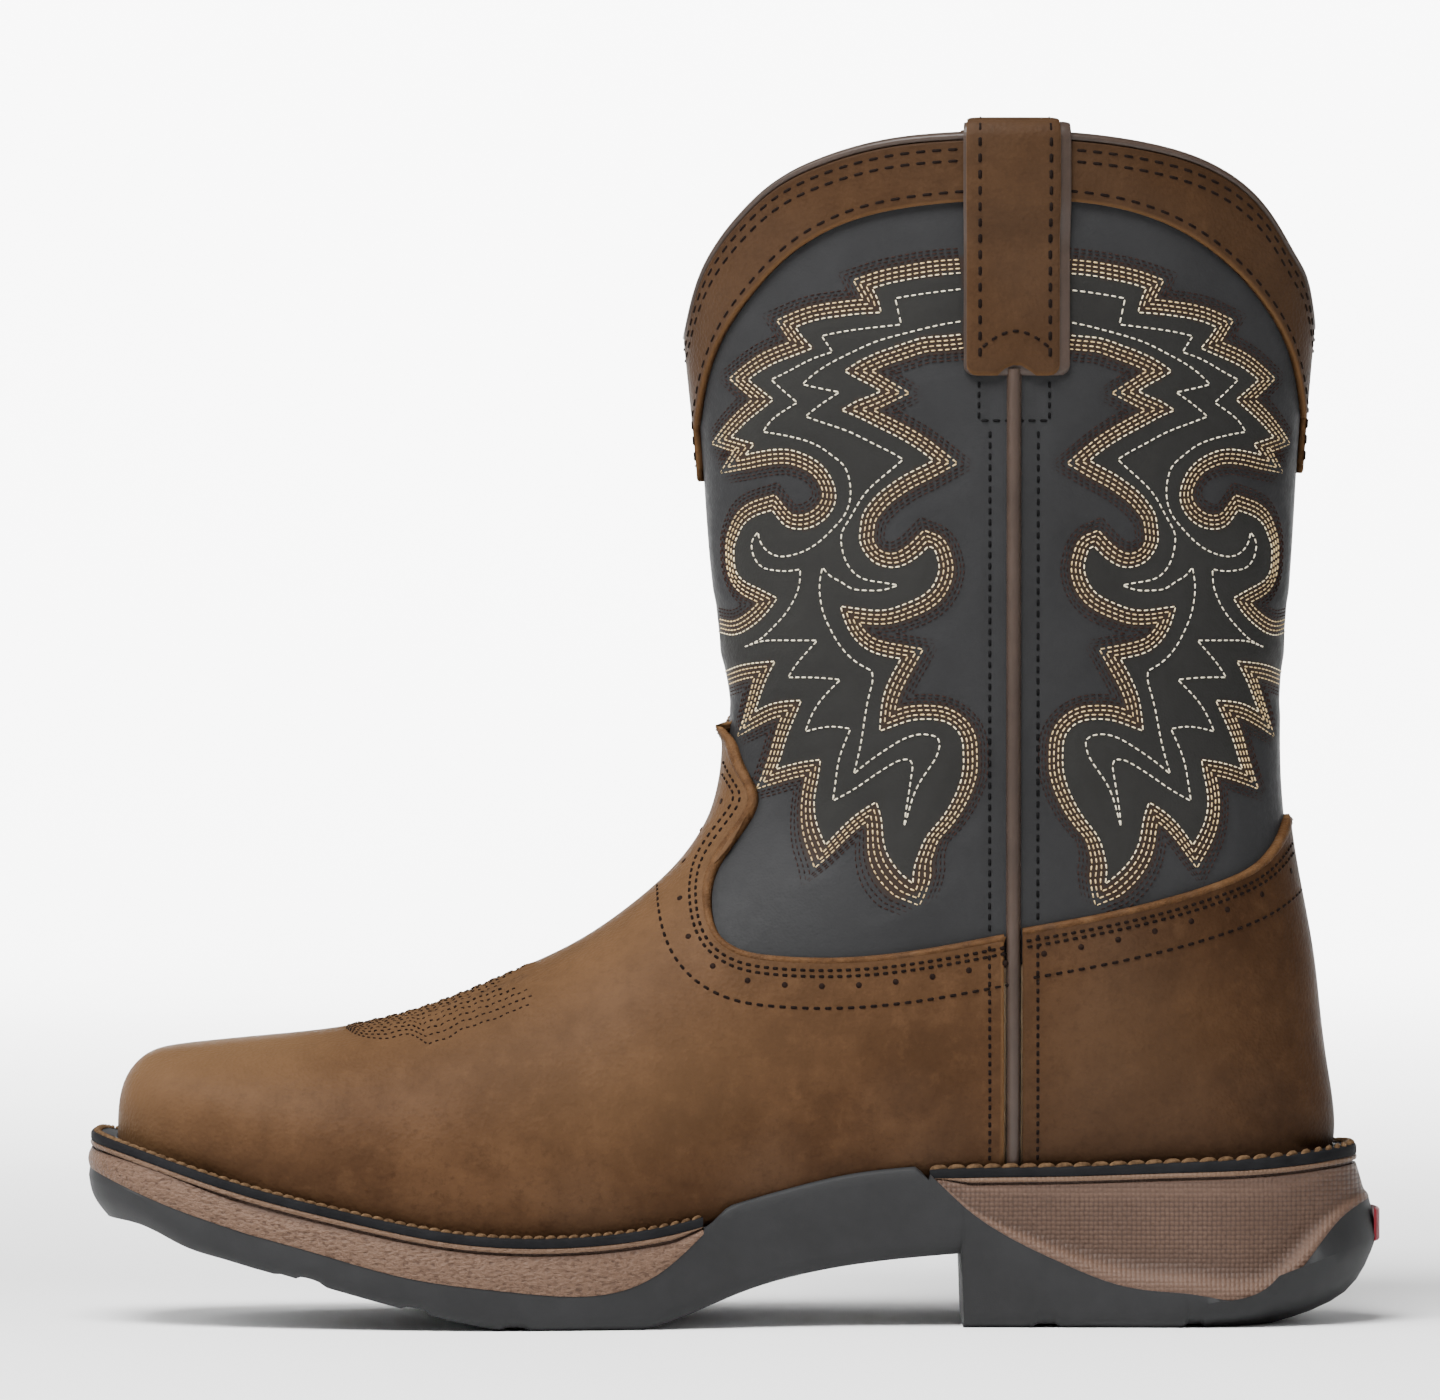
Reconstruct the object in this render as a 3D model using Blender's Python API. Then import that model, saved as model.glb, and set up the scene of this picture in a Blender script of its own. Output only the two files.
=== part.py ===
"""A western boot for the right foot: a hollow leather upper with overlays, on a welted rubber sole.

The toe points to -X, the heel to +X, the medial side to -Y, and the boot stands on Z = 0.
Tables are in millimetres. Meshes are made in metres.
"""

import math

import bpy
import numpy as np

MM = 0.001

# Driving sizes in millimetres
BALL_WIDTH = 94.0  # across the last at the ball
BALL_HEIGHT = 20.6  # from the floor to the welt line at the ball
HEEL_RISE = 17.4  # how much higher the welt line is at the heel breast
TOE_SPRING = 26.0  # how much higher the welt line is at the toe
WALL = 2.0  # shaft leather with its lining
GAP = 0.3  # between pieces that touch
OVERLAY = 1.7  # vamp, counter and collar leather
STRAP_LEATHER = 1.6
STRAP_WIDTH = 24.5
SEAM_X = 65.8  # where the side seams run
PIPING_WIDTH = 3.4
PIPING_RISE = 2.7  # from the shaft wall to the crown of the piping
PIPING_FOOT = 0.7  # where the piping stops over the welt line
WELT_DROP = 3.2  # from the welt line down to the lower edge of the upper
WELT_THICKNESS = 2.0
WELT_CLEARANCE = 2.5  # leaves room for the leather, which swells over the welt
INSOLE_THICKNESS = 3.5
INSOLE_INSET = 3.1  # from the feather edge to the insole's edge
BEAD_HALF_WIDTH = 1.9
BEAD_HALF_HEIGHT = 0.9
BEAD_SIDES = 6
STRAP_FOOT_Z = 223.6
STRAP_INNER_FOOT_Z = 236.0
STRAP_TOP_Z = 284.0
STRAP_SHIFT = 0.6  # how far behind the side seam the strap is centred
STRAP_COLUMNS = 4
STRAP_BEND_STEPS = 7
PIPING_STEPS = 18
PIPING_SHOULDER = 1.2  # how far the cord's sides lie below its crown
TAB_LOW_Z = 19.0
TAB_HIGH_Z = 27.0
TAB_HALF_WIDTH = 9.0
TAB_THICKNESS = 1.6
TAB_BEVEL = 0.6
TAB_STEPS = 7
CENTRE_X = 0.75  # middle of the boot's box in the tables below
CENTRE_Y = 2.05

# The last, a row for each section. Each section runs from a point on the front outline, over the
# instep or round the leg, to a point on the feather edge or on the back outline. Half-widths are
# shares of the ball width. widest is the share of the way down to the greatest width, flare is how
# much narrower the front end is, and the two curves are superellipse powers.
SECTIONS = (
    # front x, front z, back x, back z, medial, lateral, ridge y, widest, flare, front curve, back curve
    (-143.6, 43.4, -112.0, None, 0.394, 0.367, -2.5, 1.00, 0.21, 4.0, 2.4),  # toe feather
    (-143.5, 50.0, -109.0, None, 0.411, 0.387, -2.6, 0.97, 0.20, 3.9, 2.4),  # toe wall
    (-142.2, 56.5, -105.0, None, 0.426, 0.409, -2.8, 0.93, 0.18, 3.7, 2.4),  # toe brow
    (-138.6, 61.2, -100.0, None, 0.438, 0.426, -3.0, 0.89, 0.15, 3.4, 2.4),  # toe shoulder
    (-132.0, 63.4, -93.0, None, 0.453, 0.449, -3.4, 0.85, 0.11, 3.1, 2.4),  # toe top
    (-123.0, 64.5, -86.0, None, 0.464, 0.468, -3.8, 0.82, 0.07, 2.8, 2.4),  # toe box
    (-110.0, 65.8, -78.0, None, 0.474, 0.489, -4.2, 0.79, 0.03, 2.5, 2.4),  # toe box rear
    (-92.0, 67.9, -68.0, None, 0.481, 0.509, -4.6, 0.76, 0.0, 2.3, 2.5),  # joint
    (-72.0, 72.8, -58.0, None, 0.483, 0.519, -5.0, 0.74, 0.0, 2.2, 2.5),  # ball
    (-54.0, 80.0, -46.0, None, 0.477, 0.523, -5.0, 0.72, 0.0, 2.1, 2.5),  # vamp
    (-37.0, 87.8, -32.0, None, 0.462, 0.517, -4.5, 0.70, 0.0, 2.0, 2.5),  # waist
    (-23.5, 96.8, -16.0, None, 0.440, 0.498, -4.0, 0.68, 0.0, 2.0, 2.5),  # instep
    (-13.5, 105.5, 4.0, None, 0.417, 0.468, -3.0, 0.65, 0.0, 2.0, 2.4),  # high instep
    (-7.2, 113.3, 30.0, None, 0.398, 0.438, -2.0, 0.62, 0.0, 2.0, 2.4),  # throat
    (-3.5, 120.4, 62.0, None, 0.389, 0.413, -1.2, 0.58, 0.0, 2.0, 2.4),  # bend
    (-1.6, 127.5, 96.0, None, 0.389, 0.401, -0.6, 0.55, 0.0, 2.0, 2.3),  # long heel
    (-0.8, 134.2, 124.0, None, 0.393, 0.396, -0.2, 0.52, 0.0, 2.0, 2.3),  # short heel
    (-0.5, 141.0, 138.4, None, 0.397, 0.398, 0.0, 0.50, 0.0, 2.0, 2.2),  # heel seat
    (-1.0, 149.5, 138.9, 62.0, 0.401, 0.401, 0.0, 0.50, 0.0, 2.0, 2.2),  # heel
    (-2.6, 158.0, 135.9, 87.0, 0.404, 0.404, 0.0, 0.50, 0.0, 2.0, 2.2),  # counter
    (-3.9, 166.5, 131.3, 113.0, 0.406, 0.406, 0.0, 0.50, 0.0, 2.0, 2.1),  # ankle
    (-4.8, 175.5, 129.6, 139.0, 0.411, 0.411, 0.0, 0.50, 0.0, 2.0, 2.0),  # shaft foot
    (-5.6, 185.0, 130.9, 163.0, 0.417, 0.417, 0.0, 0.50, 0.0, 2.0, 2.0),  # low shaft
    (-6.3, 195.0, 132.5, 186.0, 0.426, 0.426, 0.0, 0.50, 0.0, 2.0, 2.0),  # shaft
    (-7.0, 205.0, 133.6, 205.0, 0.434, 0.434, 0.0, 0.50, 0.0, 2.0, 2.0),  # high shaft
    (-10.8, 245.0, 136.8, 245.0, 0.453, 0.453, 0.0, 0.50, 0.0, 2.0, 2.0),  # collar
    (-11.8, 292.0, 137.4, 292.0, 0.462, 0.462, 0.0, 0.50, 0.0, 2.0, 2.0),  # above the rim
)
HEEL_ROW = 17  # the first section that closes round the back
RIM_BASE_ROW = 24  # the level section that the rim rows rise from

# The welt line in the side view: shares of toe spring and heel rise
WELT_LINE = (
    # x, toe spring, heel rise
    (-150.0, 1.07, 0.0),
    (-145.6, 1.00, 0.0),
    (-118.8, 0.55, 0.0),
    (-91.7, 0.25, 0.0),
    (-64.7, 0.04, 0.0),
    (-43.0, 0.0, 0.0),
    (-26.7, 0.0, 0.115),
    (-10.5, 0.0, 0.32),
    (3.3, 0.0, 0.56),
    (14.4, 0.0, 0.735),
    (25.6, 0.0, 0.885),
    (42.0, 0.0, 1.0),
    (75.8, 0.0, 1.05),
    (103.6, 0.0, 1.10),
    (125.8, 0.0, 1.21),
    (148.0, 0.0, 1.37),
)

# The feather edge in plan, as shares of the ball width, with an oval heel end
FEATHER_PLAN = (
    # x, medial, lateral
    (-112.0, 0.394, 0.367),
    (-98.0, 0.432, 0.419),
    (-84.0, 0.455, 0.457),
    (-70.0, 0.466, 0.487),
    (-56.0, 0.464, 0.504),
    (-40.0, 0.447, 0.506),
    (-24.0, 0.419, 0.491),
    (-8.0, 0.387, 0.466),
    (10.0, 0.353, 0.432),
    (30.0, 0.326, 0.394),
    (50.0, 0.311, 0.362),
    (70.0, 0.304, 0.336),
    (90.0, 0.302, 0.317),
    (106.0, 0.302, 0.302),
)
HEEL_OVAL_X = 106.0
HEEL_OVAL_CURVE = 2.2

# The top edge and the lower edge of the collar in the side view
RIM_LINE = (
    (-10.4, 229.0),
    (-7.5, 241.5),
    (-3.7, 251.0),
    (2.0, 259.0),
    (9.0, 266.0),
    (21.0, 272.6),
    (36.0, 276.8),
    (52.0, 278.4),
    (66.5, 278.8),
    (81.0, 278.2),
    (97.0, 276.0),
    (109.0, 272.6),
    (118.0, 267.6),
    (126.0, 259.0),
    (131.5, 250.0),
    (134.8, 241.5),
    (136.8, 229.0),
)
COLLAR_LINE = (
    (-9.6, 199.0),
    (-7.4, 212.0),
    (-5.6, 222.5),
    (-1.7, 233.2),
    (4.2, 242.0),
    (13.0, 251.4),
    (26.8, 259.4),
    (45.0, 263.4),
    (65.8, 264.6),
    (86.4, 263.4),
    (105.0, 257.4),
    (116.7, 249.2),
    (125.0, 240.0),
    (131.0, 229.0),
    (134.2, 214.0),
    (136.2, 201.0),
)

# The cut edges of vamp and counter in the side view
VAMP_LINE = (
    (-4.0, 144.2),
    (0.4, 138.6),
    (3.0, 131.4),
    (6.0, 124.0),
    (3.4, 117.6),
    (-0.6, 112.0),
    (-4.2, 105.4),
    (-5.0, 97.8),
    (-3.0, 91.6),
    (1.6, 88.4),
    (9.0, 87.0),
    (27.6, 86.8),
    (46.0, 89.0),
    (63.6, 92.4),
)
COUNTER_LINE = (
    (67.9, 93.8),
    (86.4, 97.2),
    (102.7, 101.0),
    (115.0, 104.8),
    (123.4, 109.0),
    (128.0, 114.4),
    (131.4, 122.8),
)

# Sole heights in the side view
TREAD_LINE = (
    # x, z, below the floor where the rubber lies flat on it
    (-152.5, 25.5),
    (-142.3, 24.6),
    (-132.0, 20.3),
    (-118.2, 15.6),
    (-102.2, 10.6),
    (-84.0, 5.8),
    (-66.0, 1.9),
    (-52.0, -0.6),
    (-34.0, -1.2),
    (-20.0, 0.2),
    (-10.0, 3.6),
    (3.3, 9.0),
    (14.4, 12.2),
    (27.0, 14.6),
    (53.0, 17.4),
)
MIDSOLE_BASE_LINE = (
    (-152.5, 37.0),
    (-140.4, 30.4),
    (-124.1, 23.8),
    (-97.2, 15.8),
    (-75.5, 10.9),
    (-53.8, 8.0),
    (-38.0, 7.2),
    (-26.7, 9.0),
    (-16.5, 14.2),
    (-8.0, 22.0),
)
INSERT_BASE_LINE = (
    (49.0, 32.6),
    (53.0, 27.9),
    (61.4, 21.9),
    (75.8, 15.0),
    (92.5, 9.0),
    (109.0, 6.9),
    (122.5, 6.9),
    (132.6, 12.5),
    (140.4, 21.2),
    (146.0, 27.0),
    (152.9, 29.4),
)
HEEL_BREAST_X = 53.6
BREAST_STEP = 0.6

# How far the sole stands out past the feather edge
SOLE_REACH = (
    # x, at the welt, at the tread
    (-143.6, 8.4, 8.9),
    (-112.0, 8.0, 8.4),
    (-60.0, 7.6, 8.2),
    (-24.0, 6.8, 7.4),
    (0.0, 4.6, 5.6),
    (25.0, 4.2, 5.2),
    (48.0, 5.6, 6.2),
    (80.0, 7.0, 7.8),
    (110.0, 8.0, 9.6),
    (138.4, 9.6, 14.5),
)

# Outsole wall from the tread up: how far in from the tread outline and how high over the tread
OUTSOLE_LEVELS = (
    # inset at toe, side, heel back, rise at toe, side, heel back
    (10.5, 2.4, 24.0, 0.0, 0.0, 0.0),
    (3.0, 0.7, 7.5, 4.6, 1.4, 7.0),
    (0.0, 0.0, 0.0, 9.6, 3.6, 20.5),
)
TOP_INSET_BACK = 2.0  # how far the outsole's upper edge leans in at the heel back

# Transverse grooves in the tread: centre, width and depth
GROOVE_X = (-99.0, -74.0, -51.0, 73.6, 109.0)
GROOVE_WIDTH = 6.6
GROOVE_DEPTH = 1.5

# Midsole and heel insert wall from the top down: depth below the top and inset from the welt edge
LAYER_LIP = 1.3
LAYER_GROOVE = 0.6
LAYER_GROOVE_INSET = 0.9
LAYER_EDGE = 0.2  # how far the layer stands back above and below its lip
LAYER_FULL = 6.0  # layer depth at which lip and groove have their full size
TREAD_LEAN = 0.3  # how far the rubber's upper edge leans in at the sides
RUBBER_FULL = 8.0  # rubber depth at which its rounded edge has its full size
TOE_BEVEL_X = -118.0  # where the bevel round the toe has given way to the side's
HEEL_EASE = 0.8  # how slowly the heel back's bevel gives way to the sides
INSERT_SCOOP = 2.6  # depth of the hollow in the insert's side
INSERT_LEVELS = (
    # share of the way down, share of the hollow
    (0.0, 0.0),
    (0.45, 0.6),
    (0.74, 1.0),
    (0.88, 0.08),
    (1.0, 0.0),
)
INSERT_FULL = 14.0  # insert depth, past the rubber's, at which the hollow has its full size

# Sections of the sole along its length, and round the toe as shares of the toe curve
TOE_STEPS = (0.06, 0.16, 0.27, 0.38, 0.50, 0.64, 0.82)
SOLE_STATIONS = (
    -112.0, -104.0, -91.0, -83.0, -66.0, -59.0, -42.0, -34.0, -26.0, -17.0, -8.0, -7.7,
    2.0, 14.0, 26.0, 38.0, 48.7, 49.0, 57.0, 64.0, 84.0, 92.0, 100.0, 118.0,
    125.0, 131.0, 136.0, 140.5, 144.5, 148.0, 150.5, 152.2,
)
MIDSOLE_END = -8.0
INSERT_START = 49.0
FOREFOOT_WELT_END = -8.0
HEEL_WELT_START = 49.0

COLUMNS_PER_SIDE = 11
RIM_ROWS = 3
MORE_ROWS_X = (16.0, 45.0, 79.0, 111.0, 130.0, 134.4, 137.0)  # more rows of the wall, by their feather edge
EDGE_STEPS = 44  # points along the cut edges of vamp and collar
COUNTER_STEPS = 22
CUT_REACH = 90.0  # half the length of a cutter across the boot
CUT_ENDS_X = (-170.0, 170.0)  # past the toe and past the heel
CUT_TOP_Z = 320.0
STATION_STEP = 0.05  # for slopes along the last, round it and in the side view
AROUND_STEP = 0.002
SIDE_STEP = 0.5
HALVINGS = 44
LEVEL_HEIGHT = 6.0  # above the feather edge, over which walls are set off level
SHARP_ANGLE = math.radians(38.0)


def spline(knots, values):
    """A natural cubic through the knots, straight beyond them."""
    knots = np.asarray(knots, float)
    values = np.asarray(values, float)
    step = np.diff(knots)
    slope = np.diff(values) / step
    count = len(knots)
    matrix = np.eye(count)
    right = np.zeros(count)
    for i in range(1, count - 1):
        matrix[i, i - 1 : i + 2] = (step[i - 1], 2 * (step[i - 1] + step[i]), step[i])
        right[i] = 6 * (slope[i] - slope[i - 1])
    bend = np.linalg.solve(matrix, right)
    first = slope[0] - step[0] * bend[1] / 6
    last = slope[-1] + step[-1] * bend[-2] / 6

    def value(at):
        at = np.asarray(at, float)
        inside = np.clip(at, knots[0], knots[-1])
        i = np.clip(np.searchsorted(knots, inside) - 1, 0, count - 2)
        a = (knots[i + 1] - inside) / step[i]
        b = 1 - a
        curve = a * values[i] + b * values[i + 1]
        curve = curve + ((a**3 - a) * bend[i] + (b**3 - b) * bend[i + 1]) * step[i] ** 2 / 6
        return curve + np.minimum(at - knots[0], 0) * first + np.maximum(at - knots[-1], 0) * last

    return value


def table_spline(table, column):
    """A column of a table as a function of its first column."""
    return spline([row[0] for row in table], [row[column] for row in table])


def smooth_path(points, steps):
    """A table of side-view points as a smooth path."""
    points = np.asarray(points, float)
    along = np.concatenate([[0], np.cumsum(np.linalg.norm(np.diff(points, axis=0), axis=1))])
    at = np.linspace(0, along[-1], steps)
    return np.column_stack([spline(along, points[:, 0])(at), spline(along, points[:, 1])(at)])


toe_share = table_spline(WELT_LINE, 1)
heel_share = table_spline(WELT_LINE, 2)


def welt_line(x):
    return BALL_HEIGHT + TOE_SPRING * toe_share(x) + HEEL_RISE * heel_share(x)


def feather_z(x):
    return welt_line(x) - WELT_DROP


FEATHER_SIDES = {-1: table_spline(FEATHER_PLAN, 1), 1: table_spline(FEATHER_PLAN, 2)}


def feather_half(x, side):
    """Half-width of the feather edge, closing to nothing at the back of the heel."""
    before = np.minimum(x, HEEL_OVAL_X)
    half = np.where(side < 0, FEATHER_SIDES[-1](before), FEATHER_SIDES[1](before))
    length = SECTIONS[HEEL_ROW][2] - HEEL_OVAL_X
    share = np.clip((x - HEEL_OVAL_X) / length, 0, 1)
    return BALL_WIDTH * half * (1 - share**HEEL_OVAL_CURVE) ** (1 / HEEL_OVAL_CURVE)


def section_knots():
    """The girth distance of each section from the toe, and its columns."""
    rows = [list(row) for row in SECTIONS]
    for row in rows:
        if row[3] is None:
            row[3] = float(feather_z(row[2]))
    rows = np.array(rows)
    front = np.linalg.norm(np.diff(rows[:, 0:2], axis=0), axis=1)
    back = np.linalg.norm(np.diff(rows[:, 2:4], axis=0), axis=1)
    return np.concatenate([[0], np.cumsum((front + back) / 2)]), rows


KNOTS, ROWS = section_knots()
COLUMN_NAMES = (
    "front_x", "front_z", "back_x", "back_z", "medial", "lateral", "ridge", "widest", "flare",
    "front_curve", "back_curve",
)
LAST = {name: spline(KNOTS, ROWS[:, i]) for i, name in enumerate(COLUMN_NAMES)}
HEEL_STATION = KNOTS[HEEL_ROW]


def section_ends(station):
    """The two ends of a section in the side view."""
    back_x = LAST["back_x"](station)
    back_z = np.where(station < HEEL_STATION, feather_z(back_x), LAST["back_z"](station))
    return LAST["front_x"](station), LAST["front_z"](station), back_x, back_z


def section_shape(station, side):
    """Greatest half-width, its place, edge half-width and the curve powers of a section."""
    bulge = BALL_WIDTH * np.where(side < 0, LAST["medial"](station), LAST["lateral"](station))
    widest = np.clip(LAST["widest"](station), 0.3, 1.0)
    edge = np.where(station < HEEL_STATION, feather_half(LAST["back_x"](station), side), 0.0)
    edge_share = np.clip(edge / bulge, 0, 0.992)
    back_curve = LAST["back_curve"](station)
    full = np.maximum(1 - edge_share**back_curve, 1e-9) ** (1 / back_curve)
    return bulge, widest, edge_share, (1 - widest) / full, LAST["front_curve"](station), back_curve


def surface(station, around):
    """Points of the last. around runs from -1, medial, over the front at 0, to 1, lateral."""
    station, around = np.broadcast_arrays(np.asarray(station, float), np.asarray(around, float))
    side = np.where(around < 0, -1, 1)
    turn = np.clip(np.abs(around), 0, 1)
    front_x, front_z, back_x, back_z = section_ends(station)
    bulge, widest, edge_share, reach, front_curve, back_curve = section_shape(station, side)
    length = np.hypot(back_x - front_x, back_z - front_z)
    upper = np.hypot(widest * length, bulge)
    lower = np.hypot((1 - widest) * length, bulge * (1 - edge_share))
    split = upper / (upper + lower)
    angle = np.clip(turn / split, 0, 1) * math.pi / 2
    drop = widest * (1 - np.cos(angle) ** (2 / front_curve))
    ridge = LAST["ridge"](station)
    flared = bulge * (1 - LAST["flare"](station) * (1 - drop / widest))
    spread = ridge + (side * flared - ridge) * np.sin(angle) ** (2 / front_curve)
    end = np.arccos(np.clip(edge_share, 0, 1) ** (back_curve / 2))
    tuck = np.clip((turn - split) / np.maximum(1 - split, 1e-9), 0, 1) * end
    below = turn > split
    drop = np.where(below, widest + reach * np.sin(tuck) ** (2 / back_curve), drop)
    spread = np.where(below, side * bulge * np.cos(tuck) ** (2 / back_curve), spread)
    x = front_x + (back_x - front_x) * drop
    z = front_z + (back_z - front_z) * drop
    return np.stack([x, spread, z], axis=-1)


def outward(station, around):
    """Outward normals of the last, level along the feather edge."""
    station, around = np.broadcast_arrays(np.asarray(station, float), np.asarray(around, float))
    points = surface(station, around)
    # Where the sections close at the heel, the slope is read just above.
    closing = np.abs(station - HEEL_STATION) < 2 * STATION_STEP
    station = np.where(closing, HEEL_STATION + 3 * STATION_STEP, station)
    ahead = surface(np.minimum(station + STATION_STEP, KNOTS[-1]), around)
    behind = surface(np.maximum(station - STATION_STEP, 0), around)
    right = surface(station, np.minimum(around + AROUND_STEP, 1))
    left = surface(station, np.maximum(around - AROUND_STEP, -1))
    normal = np.cross(right - left, ahead - behind)
    front_x, front_z, back_x, back_z = section_ends(station)
    axis = np.stack([(front_x + back_x) / 2, np.zeros_like(back_x), (front_z + back_z) / 2], axis=-1)
    facing = np.sign(np.sum(normal * (points - axis), axis=-1, keepdims=True))
    normal = normal * np.where(facing == 0, 1, facing)
    lift = np.clip((points[..., 2] - feather_z(points[..., 0])) / LEVEL_HEIGHT, 0, 1)
    normal = normal / np.linalg.norm(normal, axis=-1, keepdims=True)
    normal[..., 2] *= lift
    return normal / np.linalg.norm(normal, axis=-1, keepdims=True)


def form(station, around, offset):
    """Points set off from the last. Along the feather edge they stay on the sole's own plane."""
    points = surface(station, around)
    moved = points + outward(station, around) * np.asarray(offset)[..., None]
    lift = np.clip((points[..., 2] - feather_z(points[..., 0])) / LEVEL_HEIGHT, 0, 1)
    moved[..., 2] += (1 - lift) * (feather_z(moved[..., 0]) - feather_z(points[..., 0]))
    return moved


rim_line = table_spline(RIM_LINE, 1)
AROUND = np.linspace(-1, 1, 2 * COLUMNS_PER_SIDE + 1)


def rim_station(around):
    """The station where each column reaches the top edge."""
    low = np.full_like(around, KNOTS[RIM_BASE_ROW])
    high = np.full_like(around, KNOTS[-1])
    for _ in range(HALVINGS):
        middle = (low + high) / 2
        points = surface(middle, around)
        under = points[..., 2] < rim_line(points[..., 0])
        low = np.where(under, middle, low)
        high = np.where(under, high, middle)
    return low


def wall_stations():
    """Stations of the wall's rows: each section, more along the feather edge, and the rows up to the rim."""
    more = np.interp(MORE_ROWS_X, LAST["back_x"](DENSE), DENSE)
    foot = np.sort(np.concatenate([KNOTS[: RIM_BASE_ROW + 1], more]))
    foot = np.repeat(foot[:, None], len(AROUND), axis=1)
    rise = np.linspace(0, 1, RIM_ROWS + 1)[1:, None]
    base = KNOTS[RIM_BASE_ROW]
    return np.vstack([foot, base + (rim_station(AROUND)[None, :] - base) * rise])


DENSE = np.linspace(0, HEEL_STATION, 2000)
STATIONS = wall_stations()
CLOSED_ROW = int(np.count_nonzero(STATIONS[:, 0] < HEEL_STATION - 1e-6))  # the first row that goes all round


def material(name, colour, roughness):
    made = bpy.data.materials.new(name)
    made.use_nodes = True
    shader = made.node_tree.nodes["Principled BSDF"]
    shader.inputs["Base Color"].default_value = (*colour, 1)
    shader.inputs["Roughness"].default_value = roughness
    shader.inputs["Metallic"].default_value = 0.0
    return made


def add_object(name, points, faces, finish):
    """A mesh object from points in millimetres, smooth but for its sharp edges."""
    centred = (np.asarray(points, float) - (CENTRE_X, CENTRE_Y, 0)) * MM
    mesh = bpy.data.meshes.new(name)
    mesh.from_pydata(centred.tolist(), [], faces)
    mesh.validate()
    mesh.shade_smooth()
    mesh.set_sharp_from_angle(angle=SHARP_ANGLE)
    made = bpy.data.objects.new(name, mesh)
    bpy.context.scene.collection.objects.link(made)
    if finish:
        mesh.materials.append(finish)
    return made


def wall(name, outer, inner, finish):
    """The whole upper as a wall between two offsets, open at the rim and along the feather edge."""
    rows, columns = STATIONS.shape
    last = columns - 1
    points = []
    index = []
    for offset in (outer, inner):
        grid = form(STATIONS, AROUND[None, :], np.full(STATIONS.shape, offset))
        numbers = np.zeros((rows, columns), int)
        for row in range(rows):
            for column in range(columns):
                if row >= CLOSED_ROW and column == last:
                    numbers[row, column] = numbers[row, 0]
                    continue
                numbers[row, column] = len(points)
                points.append(grid[row, column])
        index.append(numbers)
    faces = []
    out, into = index
    for row in range(rows - 1):
        for column in range(last):
            ring = ((row, column), (row, column + 1), (row + 1, column + 1), (row + 1, column))
            turned = ring if column < COLUMNS_PER_SIDE else ring[1:] + ring[:1]
            for corners in ((turned[0], turned[1], turned[2]), (turned[0], turned[2], turned[3])):
                faces.append([out[corner] for corner in reversed(corners)])
                faces.append([into[corner] for corner in corners])
    for column in range(last):
        faces.append([out[0, column], out[0, column + 1], into[0, column + 1], into[0, column]])
        faces.append([into[-1, column], into[-1, column + 1], out[-1, column + 1], out[-1, column]])
    for row in range(CLOSED_ROW):
        faces.append([out[row + 1, 0], out[row, 0], into[row, 0], into[row + 1, 0]])
        faces.append([out[row, last], out[row + 1, last], into[row + 1, last], into[row, last]])
    return add_object(name, points, faces, finish)


def prism(name, outline, low_y, high_y):
    """A cutter: a side-view outline drawn out across the boot."""
    count = len(outline)
    area = sum(outline[i - 1][0] * outline[i][1] - outline[i][0] * outline[i - 1][1] for i in range(count))
    ring = list(outline) if area > 0 else list(outline)[::-1]
    points = [(x, low_y, z) for x, z in ring] + [(x, high_y, z) for x, z in ring]
    faces = [list(range(count)), list(range(2 * count - 1, count - 1, -1))]
    for i in range(count):
        j = (i + 1) % count
        faces.append([i, i + count, j + count, j])
    made = add_object(name, points, faces, None)
    made.hide_render = True
    made.display_type = "WIRE"
    return made


def keep_inside(target, cutter):
    cut = target.modifiers.new("shape", "BOOLEAN")
    cut.operation = "INTERSECT"
    cut.solver = "EXACT"
    cut.object = cutter


def side_half(x, z, side):
    """Half-width of the last at a side-view point."""
    x, z = np.broadcast_arrays(np.asarray(x, float), np.asarray(z, float))
    low = np.zeros_like(x)
    high = np.full_like(x, KNOTS[-1])
    for _ in range(HALVINGS):
        middle = (low + high) / 2
        front_x, front_z, back_x, back_z = section_ends(middle)
        over = (back_x - front_x) * (z - front_z) - (back_z - front_z) * (x - front_x)
        low = np.where(over > 0, middle, low)
        high = np.where(over > 0, high, middle)
    front_x, front_z, back_x, back_z = section_ends(low)
    length = (back_x - front_x) ** 2 + (back_z - front_z) ** 2
    drop = ((x - front_x) * (back_x - front_x) + (z - front_z) * (back_z - front_z)) / length
    bulge, widest, edge_share, reach, front_curve, back_curve = section_shape(low, np.full_like(x, side))
    ridge = LAST["ridge"](low) * side
    share = np.clip(drop / widest, 0, 1)
    flared = bulge * (1 - LAST["flare"](low) * (1 - share))
    upper = ridge + (flared - ridge) * np.maximum(1 - (1 - share) ** front_curve, 0) ** (1 / front_curve)
    under = np.clip((drop - widest) / np.maximum(reach, 1e-9), 0, 1)
    lower = bulge * np.maximum(1 - under**back_curve, 0) ** (1 / back_curve)
    return np.where(drop <= widest, upper, lower)


def side_point(x, z, side, offset):
    """A point set off from the last at a side-view place."""
    half = side_half(x, z, side)
    lean_x = (side_half(x + SIDE_STEP, z, side) - side_half(x - SIDE_STEP, z, side)) / (2 * SIDE_STEP)
    lean_z = (side_half(x, z + SIDE_STEP, side) - side_half(x, z - SIDE_STEP, side)) / (2 * SIDE_STEP)
    size = np.sqrt(1 + lean_x**2 + lean_z**2)
    return np.stack(
        [x - lean_x / size * offset, side * (half + offset / size), z - lean_z / size * offset], axis=-1
    )


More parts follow.
